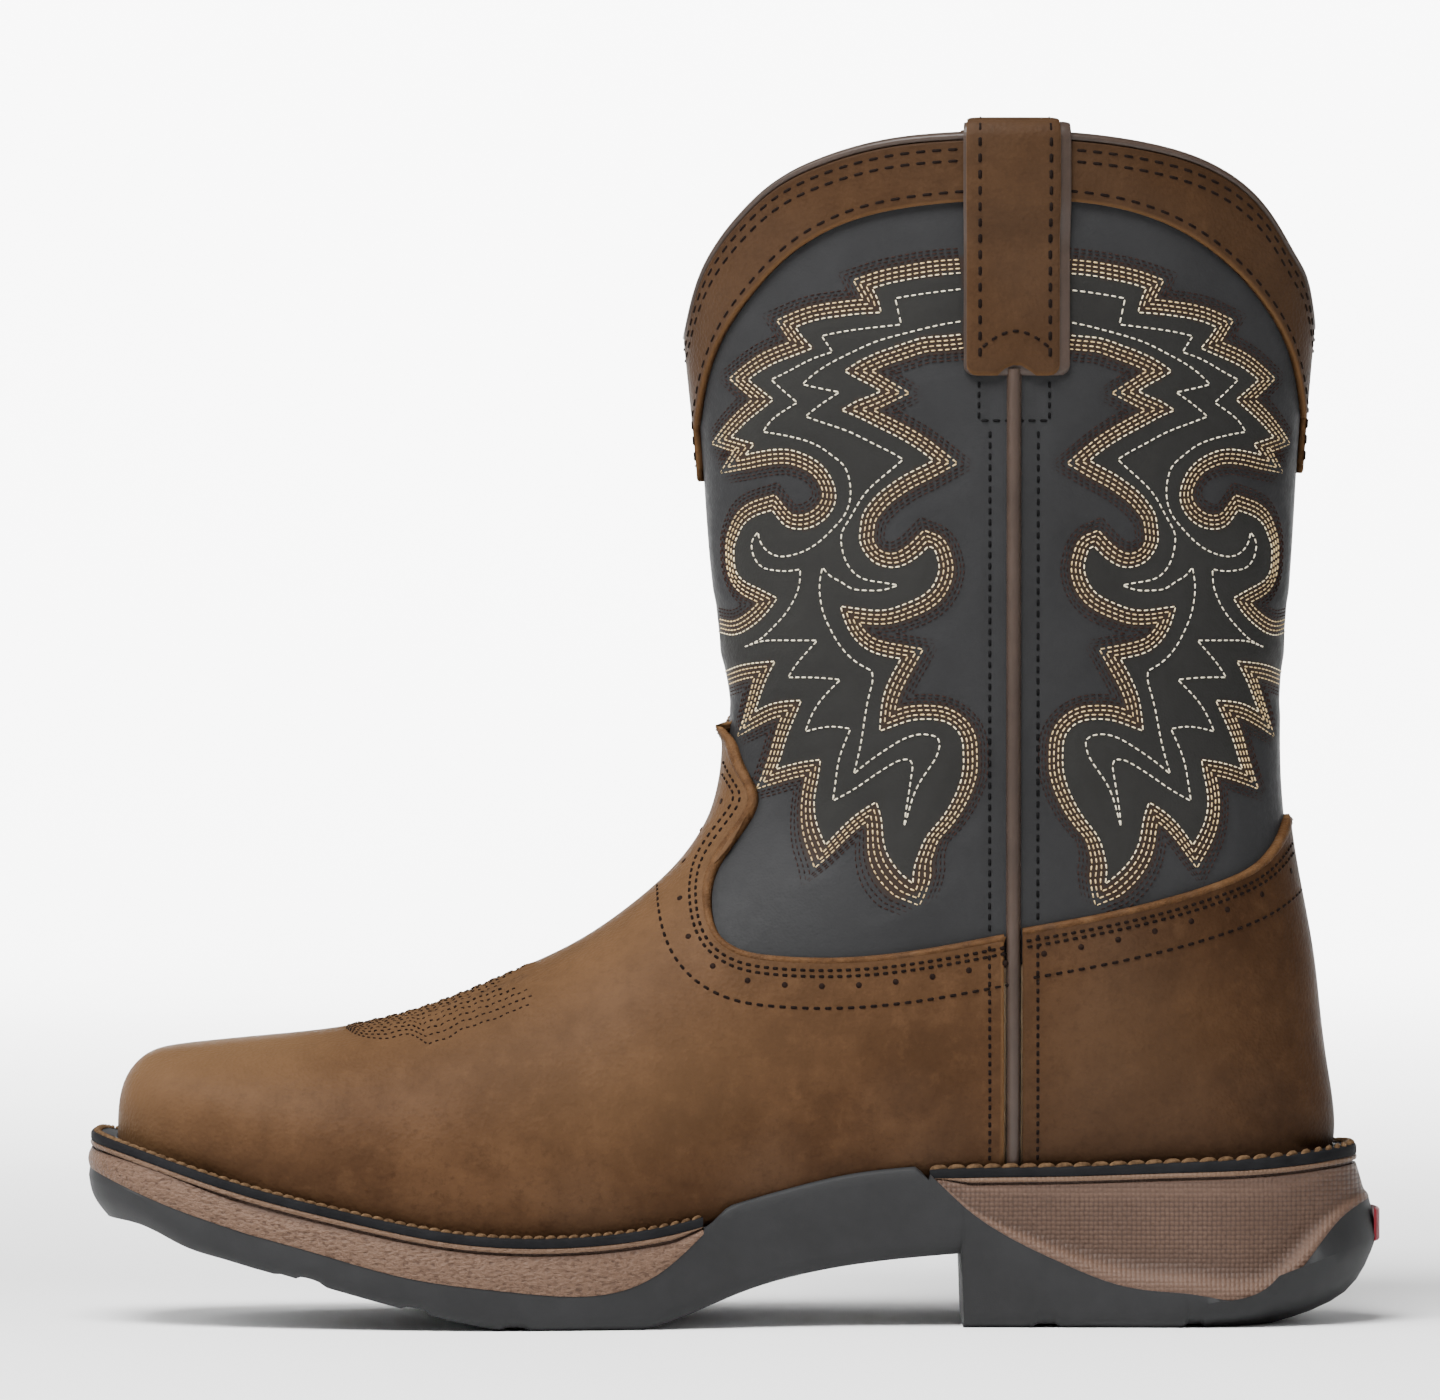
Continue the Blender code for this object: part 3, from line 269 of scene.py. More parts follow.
def surface(station, around):
    # points of the last; around runs from -1, medial, over the front at 0, to 1, lateral
    station, around = np.broadcast_arrays(np.asarray(station, float), np.asarray(around, float))
    side = np.where(around < 0, -1, 1)
    turn = np.clip(np.abs(around), 0, 1)
    frontX, frontZ, backX, backZ = sectionEnds(station)
    bulge, widest, edgeShare, reach, frontCurve, backCurve = sectionShape(station, side)
    split = sectionSplit(station, side)
    angle = np.clip(turn / split, 0, 1) * math.pi / 2
    drop = widest * (1 - np.cos(angle) ** (2 / frontCurve))
    ridge = lastAt["ridge"](station)
    flared = bulge * (1 - lastAt["flare"](station) * (1 - drop / widest))
    spread = ridge + (side * flared - ridge) * np.sin(angle) ** (2 / frontCurve)
    end = np.arccos(np.clip(edgeShare, 0, 1) ** (backCurve / 2))
    tuck = np.clip((turn - split) / np.maximum(1 - split, 1e-9), 0, 1) * end
    below = turn > split
    drop = np.where(below, widest + reach * np.sin(tuck) ** (2 / backCurve), drop)
    spread = np.where(below, side * bulge * np.cos(tuck) ** (2 / backCurve), spread)
    return np.stack([frontX + (backX - frontX) * drop, spread, frontZ + (backZ - frontZ) * drop], axis=-1)


def locate(x, z):
    # station and share of the way down its section at a side-view place
    x, z = np.broadcast_arrays(np.asarray(x, float), np.asarray(z, float))

    def beyond(station):
        frontX, frontZ, backX, backZ = sectionEnds(station)
        return (backX - frontX) * (z - frontZ) - (backZ - frontZ) * (x - frontX) > 0

    station = lastUnder(np.zeros_like(x), np.full_like(x, knots[-1]), beyond, 28)
    frontX, frontZ, backX, backZ = sectionEnds(station)
    length = (backX - frontX) ** 2 + (backZ - frontZ) ** 2
    return station, ((x - frontX) * (backX - frontX) + (z - frontZ) * (backZ - frontZ)) / length


def sideHalf(x, z, side):
    # half-width of the last at a side-view place
    station, drop = locate(x, z)
    bulge, widest, _, reach, frontCurve, backCurve = sectionShape(station, side)
    ridge = lastAt["ridge"](station) * side
    share = np.clip(drop / widest, 0, 1)
    flared = bulge * (1 - lastAt["flare"](station) * (1 - share))
    upper = ridge + (flared - ridge) * np.maximum(1 - (1 - share) ** frontCurve, 0) ** (1 / frontCurve)
    under = np.clip((drop - widest) / np.maximum(reach, 1e-9), 0, 1)
    lower = bulge * np.maximum(1 - under**backCurve, 0) ** (1 / backCurve)
    return np.where(drop <= widest, upper, lower)


def aroundAt(x, z, side):
    # station and around of a side-view place, for pieces that are laid out on the last's own sections
    station, drop = locate(x, z)
    _, widest, edgeShare, reach, frontCurve, backCurve = sectionShape(station, side)
    split = sectionSplit(station, side)
    over = np.arccos(np.clip(1 - drop / widest, 0, 1) ** (frontCurve / 2)) * 2 / math.pi * split
    end = np.arccos(edgeShare ** (backCurve / 2))
    under = np.arcsin(np.clip((drop - widest) / np.maximum(reach, 1e-9), 0, 1) ** (backCurve / 2))
    tucked = split + (1 - split) * np.clip(under / np.maximum(end, 1e-9), 0, 1)
    return station, np.where(drop <= widest, over, tucked)


def unit(vectors):
    return vectors / np.maximum(np.linalg.norm(vectors, axis=-1, keepdims=True), 1e-12)


def sideSpot(x, z, side, offset=0.0):
    # a point set off from the last at a side-view place, and the outward normal there
    step = 0.6
    half = sideHalf(x, z, side)
    leanX = (sideHalf(x + step, z, side) - sideHalf(x - step, z, side)) / (2 * step)
    leanZ = (sideHalf(x, z + step, side) - sideHalf(x, z - step, side)) / (2 * step)
    normal = unit(np.stack([-leanX, np.full_like(half, side), -leanZ], axis=-1))
    place = np.stack([x + 0 * half, side * half, z + 0 * half], axis=-1)
    return place + normal * np.asarray(offset)[..., None], normal


def gridNormals(grid):
    normal = unit(np.cross(np.gradient(grid, axis=1), np.gradient(grid, axis=0)))
    facing = np.sum(normal * (grid - grid.reshape(-1, 3).mean(axis=0)))
    return normal if facing > 0 else -normal


def quads(index):
    made = np.stack([index[:-1, :-1], index[:-1, 1:], index[1:, 1:], index[1:, :-1]], axis=-1)
    return made.reshape(-1, 4)


def strip(one, two):
    return np.stack([one[:-1], one[1:], two[1:], two[:-1]], axis=-1)


sideWords = {-1: "medial", 1: "lateral"}
pieces = {}


def addPiece(name, points, faces, finish, nodes=(), marks=None, sharp=None):
    # points in millimetres of the tables; marks are named values for each point, which the finish reads
    points = np.asarray(points, float).reshape(-1, 3)
    mesh = bpy.data.meshes.new(name)
    metres = (points - lastForm["centre"]) * 0.001
    mesh.from_pydata(metres.tolist(), [], [list(map(int, face)) for face in faces])
    mesh.shade_smooth()
    if sharp:
        mesh.set_sharp_from_angle(angle=math.radians(sharp))
    for key, values in (marks or {}).items():
        mark = mesh.attributes.new(key, "FLOAT", "POINT")
        mark.data.foreach_set("value", np.asarray(values, np.float32).ravel())
    made = bpy.data.objects.new(name, mesh)
    bpy.context.scene.collection.objects.link(made)
    mesh.materials.append(finish)
    mesh.calc_loop_triangles()
    place = np.zeros(len(mesh.vertices) * 3)
    mesh.vertices.foreach_get("co", place)
    corner = np.zeros(len(mesh.loop_triangles) * 3, int)
    mesh.loop_triangles.foreach_get("vertices", corner)
    if np.linalg.det(place.reshape(-1, 3)[corner.reshape(-1, 3)]).sum() < 0:
        mesh.flip_normals()
    pieces[name] = made
    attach(made, "root")
    if nodes:
        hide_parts(*nodes)
    print("made", name, len(mesh.loop_triangles), "triangles")
    return made


def sheetFaces(outer, inner, closed):
    # a closed sheet of leather from the numbers of its outer and inner points
    if closed:
        outer = np.hstack([outer, outer[:, :1]])
        inner = np.hstack([inner, inner[:, :1]])
    faces = [quads(outer), quads(inner)[:, ::-1]]
    faces.append(strip(outer[0], inner[0])[:, ::-1])
    faces.append(strip(outer[-1], inner[-1]))
    if not closed:
        faces.append(strip(outer[:, 0], inner[:, 0]))
        faces.append(strip(outer[:, -1], inner[:, -1])[:, ::-1])
    return np.vstack(faces)


def addSheet(name, outerGrid, innerGrid, finish, nodes=(), closed=False, marks=None):
    outer = np.arange(outerGrid.shape[0] * outerGrid.shape[1]).reshape(outerGrid.shape[:2])
    inner = outer.size + np.arange(innerGrid.shape[0] * innerGrid.shape[1]).reshape(innerGrid.shape[:2])
    points = np.vstack([outerGrid.reshape(-1, 3), innerGrid.reshape(-1, 3)])
    padded = {}
    for key, values in (marks or {}).items():
        values = np.asarray(values, float)
        edge = np.full(inner.shape, values.mean())
        if inner.shape == outer.shape:
            edge = values
        padded[key] = np.concatenate([values.ravel(), edge.ravel()])
    return addPiece(name, points, sheetFaces(outer, inner, closed), finish, nodes, padded)


def addLoft(name, rings, finish, nodes=(), closed=False, sharp=40.0, marks=None):
    # a solid through rings of points, capped at both ends or joined end to end
    rings = np.asarray(rings, float)
    index = np.arange(rings.shape[0] * rings.shape[1]).reshape(rings.shape[:2])
    looped = np.hstack([index, index[:, :1]])
    if closed:
        looped = np.vstack([looped, looped[:1]])
    faces = quads(looped).tolist()
    if not closed:
        for ring in (index[0][::-1].tolist(), index[-1].tolist()):
            for i in range((len(ring) - 1) // 2):
                faces.append(list(dict.fromkeys([ring[i], ring[i + 1], ring[-2 - i], ring[-1 - i]])))
    return addPiece(name, rings.reshape(-1, 3), faces, finish, nodes, marks, sharp)


# Thread. Each stitch is a small closed body that dips into the leather at both ends.
stitchFaces = ((0, 2, 1), (0, 3, 2), (1, 2, 5, 4), (2, 3, 6, 5), (4, 5, 7), (5, 6, 7), (0, 1, 4, 7, 6, 3))


def stitchBodies(starts, ends, normals, width, height, sink=0.25):
    starts, ends, normals = (np.asarray(a, float).reshape(-1, 3) for a in (starts, ends, normals))
    reach = ends - starts
    across = unit(np.cross(normals, reach)) * width / 2
    rows = [starts - normals * sink]
    for share in (0.2, 0.8):  # where the stitch has its full size
        middle = starts + reach * share
        foot = middle - normals * sink / 2
        rows += [foot - across, middle + normals * height, foot + across]
    rows.append(ends - normals * sink)
    return np.stack(rows, axis=1)


def addThread(name, bodies, finish):
    bodies = np.concatenate(bodies)
    numbers = np.arange(len(bodies)) * bodies.shape[1]
    faces = []
    for face in stitchFaces:
        faces += (numbers[:, None] + np.array(face)).tolist()
    return addPiece(name, bodies.reshape(-1, 3), faces, finish)


def stitchRow(points, normals, pitch, width, height, gap=0.22):
    # equal stitches along a path of points with normals
    along = pathLength(points)
    count = int(round(along[-1] / pitch))
    if count < 1:
        return np.zeros((0, 8, 3))
    edges = np.linspace(0, along[-1], count + 1)
    step = edges[1] - edges[0]
    starts = pathAt(points, along, edges[:-1] + gap / 2 * step)
    ends = pathAt(points, along, edges[1:] - gap / 2 * step)
    return stitchBodies(starts, ends, unit(pathAt(normals, along, edges[:-1] + step / 2)), width, height)


pieceTrees = {}


def laidOn(name, spot, normal, reach=6.0):
    # moves places along their normals onto the outer face of a piece that is already made
    if name not in pieceTrees:
        mesh = pieces[name].data
        corners = [vertex.co * 1000 for vertex in mesh.vertices]
        pieceTrees[name] = BVHTree.FromPolygons(corners, [tuple(face.vertices) for face in mesh.polygons])
    centre = np.array(lastForm["centre"])
    laid = np.array(spot)
    for i, (place, lead) in enumerate(zip(spot - centre, normal)):
        hit = pieceTrees[name].ray_cast(Vector(place + lead * reach), Vector(-lead), 2 * reach)[0]
        if hit:
            laid[i] = np.array(hit) + centre
    return laid


def rowOn(name, spot, normal, *size):
    # equal stitches on the outer face of a piece; size: pitch, width, height, gap
    return stitchRow(laidOn(name, spot, normal), normal, *size)


def joined(runs):
    return np.vstack([runs[0]] + [run[1:] for run in runs[1:]])


def offsetRows(runs, distance):
    # rows beside a line of smooth runs that meet at corners, to the right hand, with pointed mitres
    if distance == 0:
        return list(runs)
    base = joined(runs)
    lines = []
    leads = []
    for run in runs:
        lead = unit(np.gradient(run, axis=0))
        lead[[0, -1]] = unit(np.stack([run[3] - run[0], run[-1] - run[-4]]))
        leads.append((lead[0], lead[-1]))
        lines.append(run + np.column_stack([lead[:, 1], -lead[:, 0]]) * distance)
    least = [np.full(len(run), 0.97) for run in runs]  # share of the distance that a place has to keep
    for i in range(1, len(runs)):
        before, after = leads[i - 1][1], leads[i][0]
        if before[0] * after[1] - before[1] * after[0] > 0.05:
            one = np.array([before[1], -before[0]])
            two = np.array([after[1], -after[0]])
            tip = runs[i][0] + (one + two) * distance / max(1 + one @ two, 0.15)
            ahead = smoothPath([lines[i - 1][-1], tip], 0.4)[1:]
            back = smoothPath([tip, lines[i][0]], 0.4)[:-1]
            lines[i - 1] = np.vstack([lines[i - 1], ahead])
            lines[i] = np.vstack([back, lines[i]])
            least[i - 1] = np.append(least[i - 1], np.full(len(ahead), 0.6))
            least[i] = np.append(np.full(len(back), 0.6), least[i])
    rows = []
    for line, share in zip(lines, least):
        gap = np.array([np.min(np.hypot(*(base - point).T)) for point in line])
        good = np.concatenate([[False], gap > share * distance, [False]])
        starts = np.flatnonzero(~good[:-1] & good[1:])
        ends = np.flatnonzero(good[:-1] & ~good[1:])
        rows += [line[a:b] for a, b in zip(starts, ends) if b - a > 2]
    return rows


# Finishes
def newFinish(name, roughness, specular=0.4):
    made = bpy.data.materials.new(name)
    made.use_nodes = True
    tree = made.node_tree
    shader = tree.nodes["Principled BSDF"]
    shader.inputs["Roughness"].default_value = roughness
    shader.inputs["Specular IOR Level"].default_value = specular
    place = tree.nodes.new("ShaderNodeTexCoord").outputs["Object"]
    return made, tree, shader, place


def stretched(tree, place, scale):
    made = tree.nodes.new("ShaderNodeMapping")
    made.inputs["Scale"].default_value = scale
    tree.links.new(place, made.inputs["Vector"])
    return made.outputs["Vector"]


def noiseAt(tree, place, scale, detail=4.0, rough=0.55):
    made = tree.nodes.new("ShaderNodeTexNoise")
    made.inputs["Scale"].default_value = scale
    made.inputs["Detail"].default_value = detail
    made.inputs["Roughness"].default_value = rough
    tree.links.new(place, made.inputs["Vector"])
    return made.outputs["Fac"]


def cellsAt(tree, place, scale, feature="F1", smooth=None, uneven=1.0):
    made = tree.nodes.new("ShaderNodeTexVoronoi")
    made.feature = feature
    made.inputs["Scale"].default_value = scale
    made.inputs["Randomness"].default_value = uneven
    if smooth is not None:
        made.inputs["Smoothness"].default_value = smooth
    tree.links.new(place, made.inputs["Vector"])
    return made.outputs["Distance"]


def markAt(tree, name):
    made = tree.nodes.new("ShaderNodeAttribute")
    made.attribute_name = name
    return made.outputs["Fac"]


def shades(tree, value, *stops):
    made = tree.nodes.new("ShaderNodeValToRGB")
    while len(made.color_ramp.elements) < len(stops):
        made.color_ramp.elements.new(0.5)
    for element, (at, colour) in zip(made.color_ramp.elements, stops):
        element.position = at
        element.color = (*colour, 1)
    tree.links.new(value, made.inputs["Fac"])
    return made.outputs["Color"]


def ramp(tree, value, low, high, start=0.0, end=1.0):
    made = tree.nodes.new("ShaderNodeMapRange")
    made.inputs["From Min"].default_value = low
    made.inputs["From Max"].default_value = high
    made.inputs["To Min"].default_value = start
    made.inputs["To Max"].default_value = end
    tree.links.new(value, made.inputs["Value"])
    return made.outputs["Result"]


def mixed(tree, share, one, two):
    made = tree.nodes.new("ShaderNodeMix")
    made.data_type = "RGBA"
    tree.links.new(share, made.inputs["Factor"])
    for socket, value in ((made.inputs[6], one), (made.inputs[7], two)):
        if isinstance(value, tuple):
            socket.default_value = (*value, 1)
        else:
            tree.links.new(value, socket)
    return made.outputs[2]


def bumped(tree, shader, *layers):
    # layers of (height, strength, depth in metres)
    normal = None
    for height, strength, depth in layers:
        made = tree.nodes.new("ShaderNodeBump")
        made.inputs["Strength"].default_value = strength
        made.inputs["Distance"].default_value = depth
        tree.links.new(height, made.inputs["Height"])
        if normal:
            tree.links.new(normal, made.inputs["Normal"])
        normal = made.outputs["Normal"]
    tree.links.new(normal, shader.inputs["Normal"])


def leatherFinish(name, look):
    # look: the colours, how they are mottled, roughness and grain
    made, tree, shader, place = newFinish(name, look["roughness"], look["specular"])
    cloud = noiseAt(tree, place, look["cloud"], 6.0, 0.6)
    colour = shades(tree, cloud, (0.3, look["dark"]), (0.5, look["middle"]), (0.72, look["light"]))
    speck = noiseAt(tree, place, 520.0, 3.0, 0.7)
    colour = mixed(tree, ramp(tree, speck, 0.52, 0.72, 0.0, look["speck"]), colour, look["dark"])
    nap = noiseAt(tree, place, 170.0, 5.0, 0.7)
    colour = mixed(tree, ramp(tree, nap, 0.52, 0.72, 0.0, look["speck"]), colour, look["light"])
    colour = mixed(tree, ramp(tree, nap, 0.48, 0.30, 0.0, look["speck"]), colour, look["dark"])
    bloom = noiseAt(tree, place, look["cloud"] * 0.45, 3.0)
    colour = mixed(tree, ramp(tree, bloom, 0.5, 0.75, 0.0, look["bloomShare"]), colour, look["bloom"])
    # the first mark lightens worn places and paints highlights; the second paints shade in the deep colour
    colour = mixed(tree, markAt(tree, "wearAndHighlight"), colour, look["wearAndHighlight"])
    colour = mixed(tree, markAt(tree, "paintedShade"), colour, look["deep"])
    colour = mixed(tree, markAt(tree, "cut"), colour, look["cutEdge"])
    tree.links.new(colour, shader.inputs["Base Color"])
    rough = look["roughness"]
    tree.links.new(ramp(tree, cloud, 0.3, 0.7, rough + 0.07, rough - 0.07), shader.inputs["Roughness"])
    grain = cellsAt(tree, place, look["grainScale"], "SMOOTH_F1", 0.4)
    fine = noiseAt(tree, place, 1600.0, 3.0)
    bumped(tree, shader, (grain, look["grain"], 0.00035), (fine, look["grain"], 0.0002),
           (cloud, 0.25, 0.001))
    return made


def plainFinish(name, roughness, specular, cloud, dark, light, grain=None, lightFrom=0.7):
    # cloud: noise between the two colours; grain: scale, detail, strength and depth of the bumps
    made, tree, shader, place = newFinish(name, roughness, specular)
    colour = shades(tree, noiseAt(tree, place, *cloud), (0.3, dark), (lightFrom, light))
    tree.links.new(colour, shader.inputs["Base Color"])
    if grain:
        bumped(tree, shader, (noiseAt(tree, place, *grain[:2]), *grain[2:]))
    return made


def threadFinish(name, light, dark):
    return plainFinish(name, 0.75, 0.06, (900.0, 2.0), dark, light, (3200.0, 1.0, 0.5, 0.0002), 0.65)


# The shaft unrolled: at each height, by length from the front centre (0) to the back centre (1 or -1)
rowStep = 2.0
rowHeights = np.arange(72.0, 291.0, rowStep)
tableColumns = 241
outlineStations = np.linspace(0, knots[-1], 4000)
heelStations = np.linspace(heelStation, knots[-1], 2000)


def frontOutline(z):
    return np.interp(z, lastAt["frontZ"](outlineStations), lastAt["frontX"](outlineStations))


def backOutline(z):
    return np.interp(z, sectionEnds(heelStations)[3], lastAt["backX"](heelStations))


def unrollShaft(side):
    share = (1 - np.cos(np.linspace(0, math.pi, 321))) / 2
    front = frontOutline(rowHeights)[:, None]
    back = backOutline(rowHeights)[:, None]
    x = front + (back - front) * share
    y = side * sideHalf(x, rowHeights[:, None] + 0 * x, side)
    even = np.linspace(0, 1, tableColumns)
    rows = []
    lengths = []
    for line in np.stack([x, y], axis=-1):
        along = pathLength(line)
        lengths.append(along[-1])
        rows.append(pathAt(line, along, even * along[-1]).T)
    return np.array(rows), np.array(lengths)


medialTable, medialLength = unrollShaft(-1)
lateralTable, lateralLength = unrollShaft(1)
shaftTable = np.stack([medialTable, lateralTable])  # side, row, x or y, column
shaftLength = np.stack([medialLength, lateralLength])


def tableStep(value, count):
    # number of a table's row or column, and share of the way to the next
    value = np.clip(value, 0, count - 1)
    step = np.minimum(value.astype(int), count - 2)
    return step, value - step


def shareIn(line, value):
    # where values lie along rows of rising numbers, from 0 to 1
    last = line.shape[1] - 1
    j = np.clip(np.sum(line < value[:, None], axis=1) - 1, 0, last - 1)
    at = np.arange(len(value))
    b = np.clip((value - line[at, j]) / np.maximum(line[at, j + 1] - line[at, j], 1e-9), 0, 1)
    return (j + b) / last


def shaftPoint(w, z):
    w, z = np.broadcast_arrays(np.asarray(w, float), np.asarray(z, float))
    w = (w + 1) % 2 - 1
    side = (w >= 0).astype(int)
    i, a = tableStep((z - rowHeights[0]) / rowStep, len(rowHeights))
    j, b = tableStep(np.abs(w) * (tableColumns - 1), tableColumns)
    place = []
    for axis in (0, 1):
        low = shaftTable[side, i, axis, j] * (1 - b) + shaftTable[side, i, axis, j + 1] * b
        high = shaftTable[side, i + 1, axis, j] * (1 - b) + shaftTable[side, i + 1, axis, j + 1] * b
        place.append(low * (1 - a) + high * a)
    return np.stack([place[0], place[1], z + 0 * place[0]], axis=-1)


def shaftSpot(w, z, offset=0.0):
    across = shaftPoint(w + 0.006, z) - shaftPoint(w - 0.006, z)
    along = shaftPoint(w, z + 1.5) - shaftPoint(w, z - 1.5)
    normal = unit(np.cross(along, across))
    return shaftPoint(w, z) + normal * np.asarray(offset)[..., None], normal


def shaftAround(x, z, side):
    # share of the way round at a side-view place
    x, z = (np.asarray(a, float).ravel() for a in np.broadcast_arrays(x, z))
    i, a = tableStep((z - rowHeights[0]) / rowStep, len(rowHeights))
    a = a[:, None]
    table = shaftTable[(side + 1) // 2]
    return shareIn(table[i, 0] * (1 - a) + table[i + 1, 0] * a, x)


def girth(z, side):
    return np.interp(z, rowHeights, shaftLength[(side + 1) // 2])


def rimHeight(w):
    def under(z):
        return z < rimLine(shaftPoint(w, z)[..., 0])

    return lastUnder(np.full_like(w, 205.0), np.full_like(w, 289.0), under)


def heightAround(table):
    path = smoothPath(table, 0.8)
    w = shaftAround(path[:, 0], path[:, 1], -1)
    start = max(int(np.count_nonzero(w <= 1e-6)) - 1, 0)
    w, z = np.maximum.accumulate(w[start:]), path[start:, 1]
    w[0] = 0
    z[0] = table[0][1]
    return w, z


collarW, collarZ = heightAround(collarTable)
shaftColumns = 416
shaftW = np.linspace(-1, 1, shaftColumns, endpoint=False)
shaftRim = rimHeight(shaftW)
seamShares = shaftAround(lastForm["seamX"], rowHeights, -1)


def seamAround(z):
    # share of the way round at which the side seam runs
    return np.interp(z, rowHeights, seamShares)


# The flame ornament on the shaft: one half of one side, charted from the side view, in chart units
# from the chart's own corner. c marks a sharp corner.
flame = dict(
    chartUnit=0.236,  # millimetres
    chartLeft=733.0,
    chartFloor=1326.0,
    pitch=1.65,
    creamRows=(0.0, 1.05, 2.1, 3.15),  # distance of each row from the innermost
    darkRows=(4.15, 4.95, 5.75),
    topEdge="""
        960,277 934,279 903,284 884,288 871,292c 876,302 880,316c 860,317 841,319 820,322 808,325 795,330c
        802,340 812,351c 794,358 778,364 762,372 748,382c 759,391 773,402c 762,411 747,423 731,439c 754,446c
        745,457c 759,454 773,452 788,452 802,456 814,462 825,472 832,484 835,495 834,506 828,517 819,525
        808,530 797,531 786,528 778,520 772,512c 762,515 752,519 743,527 738,537 734,549 734,560 735,571
        741,581 753,588 777,600c 770,610 759,622 747,631 731,637 716,633""",
    lowEdge="""
        723,675 736,669 754,665 775,663c 766,681 759,701 755,714c 771,706 786,703 801,702c 795,717 786,740
        779,763 776,771c 796,765 820,761c 818,776 814,797 814,815 818,831 825,846c 839,831 855,816 875,803c
        880,820 882,840 889,860 900,874 912,884c 913,870 918,854 925,838 938,822 950,804 958,786 962,769
        962,754 960,738 954,729 943,722 927,720 911,721 895,726 879,732c 880,717 882,701 888,683 900,660c
        884,657 869,652 858,644 850,634 844,621 840,608c 855,610 872,612 888,611 903,606 919,599 930,590
        936,579 938,568 936,559 931,549 927,548c 919,556 908,564 895,569 883,568 872,563 864,554 859,542
        860,529 862,517 869,506 878,496 891,486 905,477 919,470 932,463c 919,453 903,443 888,435 872,427
        856,419 841,413c 856,404 869,399 880,394c 866,386 856,381 844,374c 856,366 872,358 888,352 903,347
        919,342 939,340 960,338""",
    innerRow="""
        960,293 919,298 894,302c 900,328c 872,331 841,335 821,339c 832,355c 809,363 788,374 771,382c 784,394
        797,405c 784,413 769,425 763,434c 781,437 802,442 819,449 833,459 844,469 848,479 850,492 849,504
        844,517 834,529 822,541 808,551 792,557 777,558 766,552 760,543 758,534c 752,543 752,552 755,561
        762,569 773,572 786,573 800,571c 799,587 794,601 784,617 772,630 760,641 744,649c 762,643 778,642
        800,642 817,642c 808,652 794,669 788,679c 814,679 840,681c 829,692 816,708 805,733c 821,729 836,728
        850,730c 843,747 838,763 835,783 832,802c 852,791 871,778 891,765 904,760 910,761 911,772 908,792
        905,810 903,827c 908,810 912,797 921,779 932,763 938,749 937,739 930,736 921,735 907,738 889,748
        870,761 853,775c 859,751 864,720 869,694 872,678 871,672c 861,667 850,659 838,645 830,631 823,615
        820,601 819,588 820,579 822,569c 830,578 841,584 850,590 864,592 880,592 897,587c 880,584 859,579
        850,571 844,560 841,548 841,535 847,524 855,510 864,496 877,483 889,473 902,462c 892,456 872,446
        850,435 825,426 805,419c 819,408 839,395c 819,391 802,387c 812,378 830,366 850,356 872,346 895,339
        919,333 941,328 960,325""",
)


def chartPaths(text):
    # smooth runs of side-view points from a chart; a run ends at each point marked c
    runs = [[]]
    for word in text.split():
        across, down = (float(part) for part in word.rstrip("c").split(","))
        runs[-1].append(((across - flame["chartLeft"]) * flame["chartUnit"],
                         (flame["chartFloor"] - down) * flame["chartUnit"]))
        if word.endswith("c"):
            runs.append([runs[-1][-1]])
    return [smoothPath(run, 0.5) for run in runs]


def chartRuns(text):
    flat = []
    for path in chartPaths(text):
        w = shaftAround(path[:, 0], path[:, 1], -1)
        flat.append(np.column_stack([w * girth(path[:, 1], -1), path[:, 1]]))
    return flat


topRuns = chartRuns(flame["topEdge"])
lowRuns = chartRuns(flame["lowEdge"])
innerRuns = chartRuns(flame["innerRow"])
flameOutline = np.vstack([joined(topRuns), joined(lowRuns)])


def flameAround(flat, side, rear):
    # shares round the shaft of unrolled chart points, in the front half or mirrored about the seam
    share = flat[:, 0] / girth(flat[:, 1], -1)
    seam = seamAround(flat[:, 1])
    share = np.where(rear, seam + (seam - share) * (1 - seam) / seam, share)
    return side * share


def flameFlat(w, z):
    # the other way: chart points of places on the shaft
    share = np.abs(w)
    seam = seamAround(z)
    share = np.where(share > seam, seam - (share - seam) * seam / (1 - seam), share)
    return np.stack([share * girth(z, -1), z], axis=-1)


def insideOutline(points, outline):
    inside = np.zeros(points.shape[:-1], bool)
    for one, two in zip(outline, np.roll(outline, -1, axis=0)):
        crosses = (one[1] > points[..., 1]) != (two[1] > points[..., 1])
        if not crosses.any() or one[1] == two[1]:
            continue
        at = one[0] + (points[..., 1] - one[1]) * (two[0] - one[0]) / (two[1] - one[1])
        inside ^= crosses & (points[..., 0] < at)
    return inside


def outlineGap(points, outline):
    gap = np.full(points.shape[:-1], 1e9)
    for point in outline:
        gap = np.minimum(gap, np.hypot(points[..., 0] - point[0], points[..., 1] - point[1]))
    return gap


# Where vamp and counter end on the shaft, so that its skin runs a little way under them
vampPath = smoothPath(vampTable, 0.8)
counterPath = smoothPath(counterTable, 0.8)
coverPath = np.vstack([vampPath, counterPath])
coverW = shaftAround(coverPath[:, 0], coverPath[:, 1], -1)
shaftTuck = dict(near=0.045, highest=93.0, depth=7.0)
shaftFoot = np.array([
    np.min(coverPath[np.abs(coverW - abs(w)) < shaftTuck["near"], 1], initial=shaftTuck["highest"])
    for w in shaftW
]) - shaftTuck["depth"]
for _ in range(12):
    shaftFoot = (np.roll(shaftFoot, 1) + shaftFoot + np.roll(shaftFoot, -1)) / 3

